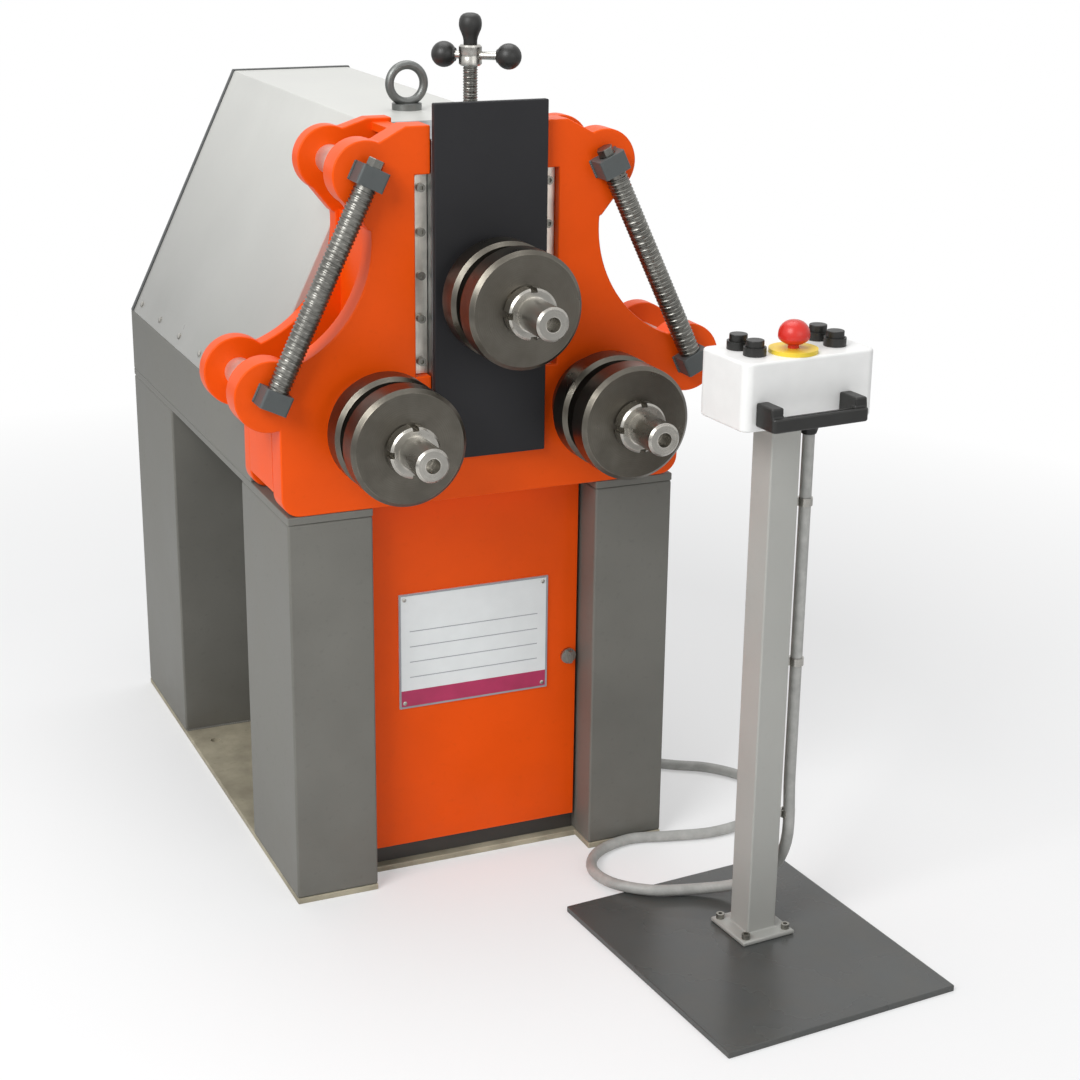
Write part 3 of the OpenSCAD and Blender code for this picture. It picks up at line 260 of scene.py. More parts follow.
def add_node(nt, kind, values=None, **settings):
    node = nt.nodes.new(kind)
    for key, value in settings.items():
        setattr(node, key, value)
    for key, value in (values or {}).items():
        if isinstance(value, bpy.types.NodeSocket):
            nt.links.new(value, node.inputs[key])
        else:
            node.inputs[key].default_value = value
    return node


def srgb(r, g, b):
    def linear(c):
        c /= 255
        return c / 12.92 if c <= 0.04045 else ((c + 0.055) / 1.055) ** 2.4
    return (linear(r), linear(g), linear(b), 1.0)


def scaled(colour, factor):
    return tuple(min(1.0, c * factor) for c in colour[:3]) + (1.0,)


def object_point(nt):
    return add_node(nt, "ShaderNodeTexCoord").outputs["Object"]


def noise_at(nt, point, scale, detail):
    values = {"Vector": point, "Scale": scale, "Detail": detail, "Roughness": 0.55}
    return add_node(nt, "ShaderNodeTexNoise", values).outputs["Fac"]


def span(nt, value, low, high, to_low=0.0, to_high=1.0):
    node = add_node(nt, "ShaderNodeMapRange", {
        "Value": value, "From Min": low, "From Max": high, "To Min": to_low, "To Max": to_high,
    })
    return node.outputs["Result"]


def blend_colour(nt, fac, first, second):
    return add_node(nt, "ShaderNodeMix", {0: fac, 6: first, 7: second}, data_type="RGBA").outputs[2]


def two_tone(nt, fac, colour, dark, light):
    """Colour that drifts between a darker and a lighter tone of itself."""
    return blend_colour(nt, fac, scaled(colour, dark), scaled(colour, light))


def math_of(nt, operation, first, second=0.0):
    return add_node(nt, "ShaderNodeMath", {0: first, 1: second}, operation=operation).outputs[0]


def worn_edges(nt, point, radius):
    """Mask of the outer edges, broken up so that the wear is uneven."""
    rounded = add_node(nt, "ShaderNodeBevel", {"Radius": radius}, samples=6).outputs["Normal"]
    plain = add_node(nt, "ShaderNodeNewGeometry").outputs["Normal"]
    match = add_node(nt, "ShaderNodeVectorMath", {0: rounded, 1: plain}, operation="DOT_PRODUCT")
    edge = span(nt, match.outputs["Value"], 0.985, 0.86)
    patches = span(nt, noise_at(nt, point, 38.0, 4.0), 0.42, 0.62)
    return math_of(nt, "MULTIPLY", edge, patches)


def rubbed(nt, tone, point, radius, wear, bare):
    """Lays the bare colour of rubbed edges over a tone."""
    edges = math_of(nt, "MULTIPLY", worn_edges(nt, point, radius), wear)
    return blend_colour(nt, edges, tone, bare)


def paint_shader(nt, shader, tone, rough):
    nt.links.new(tone, shader.inputs["Base Color"])
    nt.links.new(rough, shader.inputs["Roughness"])


def bump_to(nt, shader, height, strength, distance):
    bump = add_node(nt, "ShaderNodeBump", {"Strength": strength, "Distance": distance, "Height": height})
    nt.links.new(bump.outputs["Normal"], shader.inputs["Normal"])


def painted_steel(name, colour, gloss, wear=0.5, mottle=0.10, grime=0.25, shine=0.30, edge_colour=None,
                  painted_low_shade=None):
    """Sprayed machine paint: slight orange peel, mottled tone, grime low down, lighter rubbed edges.
    An optional painted shade darkens the tone towards the bottom; it is given by the height where it is
    deepest, the height where it ends, and its strength."""
    mat, nt, shader = new_finish(name)
    point = object_point(nt)
    broad = noise_at(nt, point, 5.0, 4.0)
    fine = noise_at(nt, point, 90.0, 3.0)
    tone = two_tone(nt, span(nt, broad, 0.3, 0.7), colour, 1 - mottle, 1 + mottle)
    specks = span(nt, fine, 0.60, 0.78, 0.0, grime)
    tone = blend_colour(nt, specks, tone, scaled(colour, 0.55))
    height = add_node(nt, "ShaderNodeSeparateXYZ", {"Vector": point}).outputs["Z"]
    low = span(nt, height, 0.16, 0.0, 0.0, grime)
    low = math_of(nt, "MULTIPLY", low, span(nt, noise_at(nt, point, 14.0, 5.0), 0.35, 0.65))
    tone = blend_colour(nt, low, tone, srgb(92, 84, 72))
    # Painted shade: the tone darkens in broad patches towards the foot height and fades out at the top
    # height.
    if painted_low_shade:
        foot, top, depth = painted_low_shade
        painted_shade = span(nt, height, foot, top, depth, 0.0)
        patches = span(nt, noise_at(nt, point, 3.0, 5.0), 0.25, 0.75, 0.75, 1.0)
        painted_shade = math_of(nt, "MULTIPLY", painted_shade, patches)
        tone = blend_colour(nt, painted_shade, tone, scaled(colour, 0.45))
    tone = rubbed(nt, tone, point, 0.004, wear, edge_colour or scaled(colour, 1.7))
    paint_shader(nt, shader, tone, span(nt, broad, 0.25, 0.75, gloss - 0.07, gloss + 0.09))
    shader.inputs["Specular IOR Level"].default_value = shine
    bump_to(nt, shader, noise_at(nt, point, 420.0, 2.0), 0.10, 0.0006)
    return mat


def turned_steel(name, colour, centre, rough=0.30, groove=0.22):
    """Lathe-turned steel about an axis along Y: fine grooves round the axis, oil-dark patches."""
    mat, nt, shader = new_finish(name)
    point = object_point(nt)
    moved = add_node(nt, "ShaderNodeMapping", {"Vector": point, "Location": (-centre[0], 0, -centre[1])})
    parts = add_node(nt, "ShaderNodeSeparateXYZ", {"Vector": moved.outputs["Vector"]}).outputs
    across = math_of(nt, "MULTIPLY", parts["X"], parts["X"])
    square = math_of(nt, "ADD", across, math_of(nt, "MULTIPLY", parts["Z"], parts["Z"]))
    along = math_of(nt, "ADD", math_of(nt, "SQRT", square), parts["Y"])
    lines = add_node(nt, "ShaderNodeTexNoise", {
        "W": math_of(nt, "MULTIPLY", along, 900.0), "Scale": 1.0, "Detail": 3.0,
    }, noise_dimensions="1D").outputs["Fac"]
    patches = span(nt, noise_at(nt, point, 22.0, 4.0), 0.35, 0.70)
    tone = two_tone(nt, patches, colour, 0.78, 1.18)
    tone = blend_colour(nt, span(nt, lines, 0.35, 0.65, 0.0, 0.5), tone, scaled(colour, 0.66))
    tone = rubbed(nt, tone, point, 0.003, 0.85, scaled(colour, 2.2))
    paint_shader(nt, shader, tone, span(nt, patches, 0.0, 1.0, rough + 0.10, rough - 0.04))
    shader.inputs["Metallic"].default_value = 1.0
    bump_to(nt, shader, lines, groove, 0.0004)
    return mat


def ground_steel(name, colour, rough=0.28, lengthwise=(1.0, 1.0, 0.06), metal=1.0):
    """Ground or drawn steel: fine marks run along one direction."""
    mat, nt, shader = new_finish(name)
    point = object_point(nt)
    drawn = add_node(nt, "ShaderNodeMapping", {"Vector": point, "Scale": lengthwise}).outputs["Vector"]
    marks = noise_at(nt, drawn, 900.0, 3.0)
    patches = span(nt, noise_at(nt, point, 26.0, 4.0), 0.35, 0.68)
    tone = two_tone(nt, patches, colour, 0.80, 1.12)
    tone = blend_colour(nt, span(nt, marks, 0.45, 0.7, 0.0, 0.35), tone, scaled(colour, 0.7))
    tone = rubbed(nt, tone, point, 0.002, 0.6, scaled(colour, 1.5))
    paint_shader(nt, shader, tone, span(nt, marks, 0.3, 0.7, rough - 0.05, rough + 0.08))
    shader.inputs["Metallic"].default_value = metal
    bump_to(nt, shader, marks, 0.12, 0.0003)
    return mat


def moulded_plastic(name, colour, gloss, grain=520.0, relief=0.12, mottle=0.08):
    """Moulded plastic: fine even grain, faint handling marks."""
    mat, nt, shader = new_finish(name)
    point = object_point(nt)
    handled = noise_at(nt, point, 30.0, 4.0)
    tone = two_tone(nt, span(nt, handled, 0.35, 0.7), colour, 1 - mottle, 1 + mottle)
    tone = rubbed(nt, tone, point, 0.0015, 0.35, scaled(colour, 1.35))
    paint_shader(nt, shader, tone, span(nt, handled, 0.3, 0.7, gloss - 0.06, gloss + 0.08))
    bump_to(nt, shader, noise_at(nt, point, grain, 2.0), relief, 0.0003)
    return mat


def cable_sheath(name, colour):
    """Rubber cable sheath: faint strand pattern round the cable, tone mottled with dust."""
    mat, nt, shader = new_finish(name)
    uv = add_node(nt, "ShaderNodeUVMap", uv_map="along").outputs["UV"]
    point = object_point(nt)
    lay = add_node(nt, "ShaderNodeMapping", {
        "Vector": uv, "Rotation": (0, 0, 0.5), "Scale": (60.0, 3.0, 1.0),
    })
    strands = add_node(nt, "ShaderNodeTexWave", {
        "Vector": lay.outputs["Vector"], "Scale": 1.0, "Distortion": 0.6,
    })
    dust = noise_at(nt, point, 55.0, 4.0)
    tone = two_tone(nt, span(nt, dust, 0.35, 0.7), colour, 0.82, 1.06)
    paint_shader(nt, shader, tone, span(nt, dust, 0.3, 0.7, 0.42, 0.58))
    bump_to(nt, shader, strands.outputs["Fac"], 0.10, 0.0006)
    return mat


orange_paint = painted_steel(
    "orange_machine_paint", srgb(242, 85, 8), gloss=0.36, wear=0.35, mottle=0.06, grime=0.10, shine=0.16,
    edge_colour=srgb(246, 138, 70),
)
leg_grey = painted_steel("leg_grey_paint", srgb(114, 113, 107), gloss=0.42, wear=0.5)
base_beige = painted_steel(
    "base_plate_paint", srgb(182, 174, 152), gloss=0.55, wear=0.6, mottle=0.16, grime=0.45,
)
cabinet_grey = painted_steel("cabinet_sheet_paint", srgb(70, 69, 67), gloss=0.45)
# The hood's paint has painted shade: darker towards its foot and lighter up to its top, standing in for how
# light falls on it.
casing_silver = painted_steel(
    "casing_silver_paint", srgb(204, 204, 199), gloss=0.34, wear=0.3, mottle=0.05, grime=0.08,
    painted_low_shade=(0.80, 1.16, 0.92),
)
charcoal = painted_steel(
    "slide_charcoal_paint", srgb(43, 43, 45), gloss=0.50, wear=0.35, mottle=0.12, grime=0.15, shine=0.18,
)
block_dark = painted_steel("block_dark_paint", srgb(84, 88, 88), gloss=0.42, wear=0.6, mottle=0.12)
motor_blue = painted_steel("motor_blue_paint", srgb(70, 92, 110), gloss=0.42)
hydraulic_grey = painted_steel("hydraulic_grey_paint", srgb(70, 72, 76), gloss=0.42)
stand_dark = painted_steel(
    "stand_plate_paint", srgb(78, 80, 79), gloss=0.26, wear=0.5, mottle=0.10, grime=0.2, shine=0.4,
)
post_silver = painted_steel(
    "post_silver_paint", srgb(174, 174, 169), gloss=0.36, wear=0.35, mottle=0.04, grime=0.08,
)
box_white = moulded_plastic(
    "enclosure_white", srgb(243, 243, 241), gloss=0.36, grain=420.0, relief=0.06, mottle=0.02,
)
black_grip = moulded_plastic("black_grip_plastic", srgb(30, 30, 28), gloss=0.42)
stop_red = moulded_plastic("stop_button_red", srgb(212, 46, 36), gloss=0.30, relief=0.04)
collar_yellow = moulded_plastic("collar_yellow", srgb(236, 206, 60), gloss=0.38, relief=0.05, mottle=0.04)
label_white = moulded_plastic(
    "label_white", srgb(234, 238, 238), gloss=0.38, grain=260.0, relief=0.04, mottle=0.02,
)
label_band = moulded_plastic("label_band_crimson", srgb(178, 48, 92), gloss=0.38, grain=260.0, relief=0.04)
label_line = moulded_plastic("label_line_grey", srgb(156, 158, 164), gloss=0.40, grain=260.0, relief=0.04)
cable_grey = cable_sheath("cable_sheath_grey", srgb(178, 178, 174))
bright_steel = ground_steel("ground_bright_steel", srgb(180, 178, 172))
gib_steel = ground_steel("guide_strip_steel", srgb(240, 234, 223), rough=0.36)
slide_steel = ground_steel("slide_machined_steel", srgb(150, 156, 158), rough=0.34)
gear_steel = ground_steel("cut_gear_steel", srgb(138, 132, 122), rough=0.34, lengthwise=(1, 0.06, 1))
spindle_steel = ground_steel("threaded_bar_steel", srgb(126, 125, 120), rough=0.30, lengthwise=(1, 1, 1))
screw_zinc = ground_steel("zinc_plated_steel", srgb(150, 148, 141), rough=0.38, lengthwise=(1, 1, 1))
# Light tie bar steel: partly the bars' own bright steel, partly a painted highlight that stands in for the
# bright glint between the lugs.
tie_steel_painted_highlight = ground_steel(
    "tie_bar_steel_painted_highlight", srgb(228, 226, 220), rough=0.36, lengthwise=(1, 0.06, 1), metal=0.8,
)
# Dark grey of the strip that draws the hood's rear edge as a dark line.
dark_rear_edge = moulded_plastic("hood_rear_edge_dark", srgb(74, 76, 76), gloss=0.5)
eye_steel = ground_steel("forged_ring_steel", srgb(122, 124, 122), rough=0.42, lengthwise=(1, 1, 1))
ROLL_TONE = srgb(106, 102, 94)
SHAFT_TONE = srgb(178, 175, 168)
roll_steels = {}
shaft_steels = {}
for side, axis in (("upper", UPPER_AXIS), ("left", LEFT_AXIS), ("right", RIGHT_AXIS)):
    roll_steels[side] = turned_steel(side + "_roll_turned_steel", ROLL_TONE, axis)
    shaft_steels[side] = turned_steel(side + "_shaft_ground_steel", SHAFT_TONE, axis, rough=0.24, groove=0.12)


def dress(node, finish):
    for slot in NODES[node].material_slots:
        slot.material = finish


def dress_piece(piece, finish, body):
    piece.data.materials.clear()
    piece.data.materials.append(finish)
    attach(piece, body)
    return piece


def finished(bm, name, finish, body, smooth_angle=35):
    """Dressed piece made from a mesh under construction, its faces turned outwards."""
    bmesh.ops.recalc_face_normals(bm, faces=bm.faces)
    return dress_piece(add_object(name, mesh_from(bm, name, smooth_angle)), finish, body)


# Control cable

def smooth_route(points, steps):
    """Smooth line through all the points, with a number of steps between each two."""
    line = []
    last = len(points) - 1
    for i in range(last):
        b, c = points[i], points[i + 1]
        a = points[i - 1] if i else 2 * b - c
        d = points[i + 2] if i + 2 <= last else 2 * c - b
        for k in range(steps):
            t = k / steps
            line.append(0.5 * (
                2 * b + (c - a) * t + (2 * a - 5 * b + 4 * c - d) * t ** 2 + (3 * b - a - 3 * c + d) * t ** 3
            ))
    line.append(points[-1])
    return line


def cable_route():
    """Points from the gland in the cabinet over the floor and up the post to the control box."""
    start = Vector(CABLE_START)
    points = [start + Vector((i * CABLE_LEAD, 0, 0)) for i in range(3)]
    points += [Vector(p) for p in CABLE_FLOOR]
    points += [Vector((*CABLE_LANE, z)) for z in CABLE_LANE_HEIGHTS + [CABLE_TOP]]
    return [p + Vector((0, FRONT_Y, 0)) for p in points]


def tube_mesh(name, line, radius, sides=20):
    """Round tube along a line, with its run and its girth as UV map, and the line's length."""
    bm = bmesh.new()
    uv = bm.loops.layers.uv.new("along")
    rings = []
    normal = None
    travelled = [0.0]
    for i, p in enumerate(line):
        ahead = (line[min(i + 1, len(line) - 1)] - line[max(i - 1, 0)]).normalized()
        seed = normal or Vector((0, 0, 1))
        normal = (seed - seed.dot(ahead) * ahead).normalized()
        side = ahead.cross(normal)
        rings.append([
            bm.verts.new(p + radius * (math.cos(a) * normal + math.sin(a) * side))
            for a in (2 * math.pi * s / sides for s in range(sides))
        ])
        if i:
            travelled.append(travelled[-1] + (p - line[i - 1]).length)
    for i in range(len(line) - 1):
        for s in range(sides):
            t = (s + 1) % sides
            face = bm.faces.new((rings[i][s], rings[i][t], rings[i + 1][t], rings[i + 1][s]))
            corners = ((i, s), (i, s + 1), (i + 1, s + 1), (i + 1, s))
            for loop, (row, column) in zip(face.loops, corners):
                loop[uv].uv = (travelled[row], column / sides)
    bm.faces.new(rings[0])
    bm.faces.new(rings[-1])
    bmesh.ops.recalc_face_normals(bm, faces=bm.faces)
    return mesh_from(bm, name, 50), travelled[-1]


cable_line = smooth_route(cable_route(), 6)
cable_mesh, cable_length = tube_mesh("control_cable_run", cable_line, CABLE_DIAMETER / 2)
cable_piece = add_object("control_cable_run", cable_mesh)
dress_piece(cable_piece, cable_grey, "frame")
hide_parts("control_cable")


def add_gland(bm, place):
    """Hexagon seat, domed nut and tapered sleeve of a cable gland, from the wall outwards along local Z."""
    add_hex(bm, 0.017, 0.0, 0.008, place, 0.0008)
    add_lathe(bm, [(0.0125, 0.008), (0.0125, 0.010)], place)
    add_hex(bm, 0.0155, 0.010, 0.019, place, 0.0008)
    sleeve = [(0.0136, 0.019), (0.0132, 0.022)]
    for rib in range(4):
        z = 0.0222 + rib * 0.0019
        r = 0.0130 - rib * 0.0006
        sleeve += [(r, z), (r, z + 0.0011), (r - 0.0009, z + 0.0012), (r - 0.0009, z + 0.0018)]
    sleeve.append((0.0098, GLAND_LENGTH))
    add_lathe(bm, sleeve, place)


def make_glands():
    bm = bmesh.new()
    start = cable_line[0] - Vector((GLAND_LENGTH, 0, 0))
    add_gland(bm, Matrix.Translation(start) @ turned(90, "Y"))
    top = cable_line[-1] + Vector((0, 0, GLAND_LENGTH))
    add_gland(bm, Matrix.Translation(top) @ turned(180, "X"))
    piece = finished(bm, "cable_gland_bodies", black_grip, "frame")
    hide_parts("cable_glands")


make_glands()


# Geometry Nodes trees for what repeats

def new_tree(name, inputs):
    tree = bpy.data.node_groups.new(name, "GeometryNodeTree")
    for label, kind, default in inputs:
        socket = tree.interface.new_socket(label, in_out="INPUT", socket_type=kind)
        if default is not None:
            socket.default_value = default
    tree.interface.new_socket("Geometry", in_out="OUTPUT", socket_type="NodeSocketGeometry")
    return tree, tree.nodes.new("NodeGroupInput").outputs, tree.nodes.new("NodeGroupOutput")


def finish_tree(tree, source, sizes, out):
    real = add_node(tree, "GeometryNodeRealizeInstances", {"Geometry": source})
    coat = add_node(tree, "GeometryNodeSetMaterial", {
        "Geometry": real.outputs[0], "Material": sizes["Material"],
    })
    tree.links.new(coat.outputs[0], out.inputs["Geometry"])


def lifted(tree, shape, height):
    step = add_node(tree, "ShaderNodeCombineXYZ", {"Z": height})
    values = {"Geometry": shape, "Translation": step.outputs[0]}
    return add_node(tree, "GeometryNodeTransform", values).outputs[0]


def joined(tree, *shapes):
    join = tree.nodes.new("GeometryNodeJoinGeometry")
    for shape in shapes:
        tree.links.new(shape, join.inputs[0])
    return join.outputs[0]


def on_points(tree, points, shape):
    return add_node(tree, "GeometryNodeInstanceOnPoints", {"Points": points, "Instance": shape}).outputs[0]


def grow(tree, name, values, place, smooth_angle=40):
    """Runs a tree on an empty mesh and returns its result as a plain mesh at the given place."""
    carrier = add_object(name + "_carrier", bpy.data.meshes.new(name + "_carrier"))
    modifier = carrier.modifiers.new("grow", "NODES")
    modifier.node_group = tree
    for item in tree.interface.items_tree:
        if item.in_out == "INPUT" and item.name in values:
            modifier[item.identifier] = values[item.name]
    mesh = applied(carrier)
    bpy.data.objects.remove(carrier)
    mesh.name = name
    mesh.transform(place)
    mesh.shade_smooth()
    mesh.set_sharp_from_angle(angle=math.radians(smooth_angle))
    return mesh


def thread_tree():
    """Round-crested screw thread standing on Z 0: a core bar with one ridge wound about it."""
    tree, sizes, out = new_tree("screw_thread", [
        ("Crest Radius", "NodeSocketFloat", 0.017), ("Ridge Radius", "NodeSocketFloat", 0.003),
        ("Pitch", "NodeSocketFloat", 0.009), ("Length", "NodeSocketFloat", 0.27),
        ("Material", "NodeSocketMaterial", None),
    ])
    ridge_radius, length = sizes["Ridge Radius"], sizes["Length"]
    run = math_of(tree, "SUBTRACT", length, math_of(tree, "MULTIPLY", ridge_radius, 2.2))
    wound = math_of(tree, "SUBTRACT", sizes["Crest Radius"], ridge_radius)
    helix = add_node(tree, "GeometryNodeCurveSpiral", {
        "Resolution": 22, "Rotations": math_of(tree, "DIVIDE", run, sizes["Pitch"]),
        "Start Radius": wound, "End Radius": wound, "Height": run,
    })
    section = add_node(tree, "GeometryNodeCurvePrimitiveCircle", {"Resolution": 8, "Radius": ridge_radius})
    ridge = add_node(tree, "GeometryNodeCurveToMesh", {
        "Curve": helix.outputs[0], "Profile Curve": section.outputs[0], "Fill Caps": True,
    })
    core_radius = math_of(tree, "ADD", wound, math_of(tree, "MULTIPLY", ridge_radius, 0.15))
    core = add_node(tree, "GeometryNodeMeshCylinder", {
        "Vertices": 40, "Radius": core_radius, "Depth": length,
    })
    winding = lifted(tree, ridge.outputs[0], math_of(tree, "MULTIPLY", ridge_radius, 1.1))
    bar = lifted(tree, core.outputs[0], math_of(tree, "MULTIPLY", length, 0.5))
    finish_tree(tree, joined(tree, winding, bar), sizes, out)
    return tree


def screw_head(tree, sizes):
    """Low coned screw head, standing on Z 0."""
    radius, height = sizes["Head Radius"], sizes["Head Height"]
    flange = add_node(tree, "GeometryNodeMeshCylinder", {
        "Vertices": 20, "Radius": radius, "Depth": math_of(tree, "MULTIPLY", height, 0.6),
    })
    dome = add_node(tree, "GeometryNodeMeshCone", {
        "Vertices": 20, "Radius Top": math_of(tree, "MULTIPLY", radius, 0.62), "Radius Bottom": radius,
        "Depth": math_of(tree, "MULTIPLY", height, 0.4),
    })
    seat = lifted(tree, flange.outputs[0], math_of(tree, "MULTIPLY", height, 0.3))
    cap = lifted(tree, dome.outputs[0], math_of(tree, "MULTIPLY", height, 0.6))
    return joined(tree, seat, cap)


def screw_ring_tree():
    """Screw heads spaced evenly round a circle about Z."""
    tree, sizes, out = new_tree("screw_ring", [
        ("Count", "NodeSocketInt", 6), ("Ring Radius", "NodeSocketFloat", 0.06),
        ("Head Radius", "NodeSocketFloat", 0.006), ("Head Height", "NodeSocketFloat", 0.005),
        ("Material", "NodeSocketMaterial", None),
    ])
    ring = add_node(tree, "GeometryNodeMeshCircle", {
        "Vertices": sizes["Count"], "Radius": sizes["Ring Radius"],
    })
    finish_tree(tree, on_points(tree, ring.outputs[0], screw_head(tree, sizes)), sizes, out)
    return tree


def screw_row_tree():
    """Screw heads spaced evenly along X, the first at the origin."""
    tree, sizes, out = new_tree("screw_row", [
        ("Count", "NodeSocketInt", 6), ("Spacing", "NodeSocketFloat", 0.06),
        ("Head Radius", "NodeSocketFloat", 0.006), ("Head Height", "NodeSocketFloat", 0.005),
        ("Material", "NodeSocketMaterial", None),
    ])
    step = add_node(tree, "ShaderNodeCombineXYZ", {"X": sizes["Spacing"]})
    row = add_node(tree, "GeometryNodeMeshLine", {"Count": sizes["Count"], "Offset": step.outputs[0]})
    finish_tree(tree, on_points(tree, row.outputs[0], screw_head(tree, sizes)), sizes, out)
    return tree


def weld_tree():
    """Weld bead along X: round drops that overlap."""
    tree, sizes, out = new_tree("weld_bead", [
        ("Length", "NodeSocketFloat", 0.1), ("Drop Radius", "NodeSocketFloat", 0.003),
        ("Material", "NodeSocketMaterial", None),
    ])
    far = add_node(tree, "ShaderNodeCombineXYZ", {"X": sizes["Length"]})
    seam = add_node(tree, "GeometryNodeCurvePrimitiveLine", {"End": far.outputs[0]})
    spots = add_node(tree, "GeometryNodeCurveToPoints", {
        "Curve": seam.outputs[0], "Length": math_of(tree, "MULTIPLY", sizes["Drop Radius"], 1.1),
    }, mode="LENGTH")
    drop = add_node(tree, "GeometryNodeMeshUVSphere", {
        "Segments": 8, "Rings": 5, "Radius": sizes["Drop Radius"],
    })
    finish_tree(tree, on_points(tree, spots.outputs[0], drop.outputs[0]), sizes, out)
    return tree


THREAD = thread_tree()
SCREW_RING = screw_ring_tree()
SCREW_ROW = screw_row_tree()
WELD = weld_tree()


def join_meshes(name, meshes):
    """One mesh made of several, keeping each one's sharp edges."""
    bm = bmesh.new()
    for mesh in meshes:
        bm.from_mesh(mesh)
        bpy.data.meshes.remove(mesh)
    return mesh_from(bm, name, 40)


# Guide spindles

def spindle_place(side):
    """Place at the lower lug whose local Z runs up the spindle."""
    return (
        Matrix.Translation((side * SPINDLE_FOOT[0], *SPINDLE_FOOT[1:]))
        @ Matrix.Rotation(-side * SPINDLE_TILT, 4, "Y")
    )


def make_spindle(side):
    hand = "left" if side < 0 else "right"
    name = hand + "_spindle_threaded"
    place = spindle_place(side)
    thread = grow(THREAD, name, {
        "Crest Radius": 0.017, "Ridge Radius": 0.0020, "Pitch": 0.0060,
        "Length": SPINDLE_LENGTH - 2 * BLOCK_HALF - 2 * THREAD_GAP, "Material": spindle_steel,
    }, place @ Matrix.Translation((0, 0, BLOCK_HALF + THREAD_GAP)))
    bm = bmesh.new()
    radius, chamfer = 0.013, 0.001
    top = SPINDLE_LENGTH + BLOCK_HALF + THREAD_GAP
    add_lathe(bm, [(radius - chamfer, -BLOCK_HALF), (radius, -BLOCK_HALF + chamfer), (radius, top)], place)
    add_hex(bm, radius, top - 0.0005, top + 0.012, place, chamfer)
    bmesh.ops.recalc_face_normals(bm, faces=bm.faces)
    piece = add_object(name, join_meshes(name, [thread, mesh_from(bm, name + "_ends")]))
    dress_piece(piece, spindle_steel, hand + "_guide_spindle")
    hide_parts(hand + "_spindle")


for side in (-1, 1):
    make_spindle(side)


# Stop screw and its handle

BAR_PLACE = (
    Matrix.Translation((0, STOP_Y, BAR_Z)) @ turned(BAR_TURN, "Z") @ Matrix.Translation((BAR_SHIFT, 0, 0))
)


def make_stop_screw():
    name = "stop_screw_threaded"
    foot = SLIDE_TOP - STOP_DEPTH + THREAD_GAP
    thread = grow(THREAD, name, {
        "Crest Radius": 0.011, "Ridge Radius": 0.0014, "Pitch": 0.004,
        "Length": BAR_Z - HUB_HEIGHT / 2 - foot, "Material": spindle_steel,
    }, Matrix.Translation((0, STOP_Y, foot)))
    piece = add_object(name, thread)
    dress_piece(piece, spindle_steel, "stop_handle")
    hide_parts("stop_screw")
    bm = bmesh.new()
    hub = Matrix.Translation((0, STOP_Y, BAR_Z - HUB_HEIGHT / 2))
    add_lathe(bm, [
        (0.0145, 0.0), (0.017, 0.0025), (0.017, 0.0115), (0.0165, 0.0125), (0.0165, 0.0175), (0.017, 0.0185),
        (0.017, 0.0275), (0.0145, 0.030),
    ], hub)
    half = BAR_LENGTH / 2
    bar = [(0.005, -half), (0.006, -half + 0.001), (0.006, half - 0.001), (0.005, half)]
    add_lathe(bm, bar, BAR_PLACE @ turned(90, "Y"), 32)
    finished(bm, "stop_screw_hub", bright_steel, "stop_handle")


def make_knobs():
    bm = bmesh.new()
    reach = BAR_LENGTH / 2 + BALL_RADIUS - BALL_SINK
    neck = -0.0155
    for end in (-1, 1):
        ball = BAR_PLACE @ Matrix.Translation((end * reach, 0, 0)) @ turned(end * 90, "Y")
        profile = [(0.00605, neck - 0.002), (0.0098, neck - 0.002), (0.0105, neck)]
        for step in range(13):
            angle = math.radians(-52 + step * 142 / 12)
            profile.append((BALL_RADIUS * math.cos(angle), BALL_RADIUS * math.sin(angle)))
        profile[-1] = (0.0, BALL_RADIUS)
        add_lathe(bm, profile, ball, 40)
    grip = Matrix.Translation((0, STOP_Y, BAR_Z + HUB_HEIGHT / 2))
    add_lathe(bm, [
        (0.0, 0.0), (0.0098, 0.0), (0.0102, 0.001), (0.0102, 0.006), (0.0112, 0.011), (0.0135, 0.017),
        (0.0158, 0.022), (0.0169, 0.027), (0.0170, 0.031), (0.0164, 0.036), (0.0145, 0.0405),
        (0.0110, 0.0438), (0.0060, 0.0455), (0.0, 0.0460),
    ], grip, 40)
    piece = finished(bm, "stop_handle_knobs", black_grip, "stop_handle", 45)
    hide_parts("handle_knobs")


def make_lock_nut():
    bm = bmesh.new()
    place = Matrix.Translation((0, STOP_Y, SLIDE_TOP))
    washer = [
        (0.01135, 0.0), (0.0205, 0.0), (0.0205, 0.002), (0.0198, 0.0025), (0.01135, 0.0025), (0.01135, 0.0),
    ]
    add_lathe(bm, washer, place)
    nut = [
        (0.0113, 0.0027), (0.0178, 0.0027), (0.0188, 0.0037), (0.0188, 0.0117), (0.0178, 0.0127),
        (0.0113, 0.0127), (0.0113, 0.0027),
    ]
    add_lathe(bm, nut, place, 6)
    finished(bm, "stop_lock_nut", bright_steel, "slide")


make_stop_screw()
make_knobs()
make_lock_nut()


# Control box fittings

def make_estop():
    bm = bmesh.new()
    place = BOX_PLACE @ Matrix.Translation((*ESTOP_SPOT, BOX_HEIGHT))
    add_lathe(bm, [
        (0.008, -0.009), (0.008, 0.0118), (0.0120, 0.0120), (0.0180, 0.0155), (0.0213, 0.0185),
        (0.0225, 0.0212), (0.0225, 0.0265), (0.0217, 0.0312), (0.0200, 0.0355), (0.0172, 0.0395),
        (0.0134, 0.0427), (0.0088, 0.0448), (0.0040, 0.0458), (0.0, 0.0460),
    ], place, 56)
    piece = finished(bm, "estop_mushroom", stop_red, "estop", 50)
    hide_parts("estop_button")


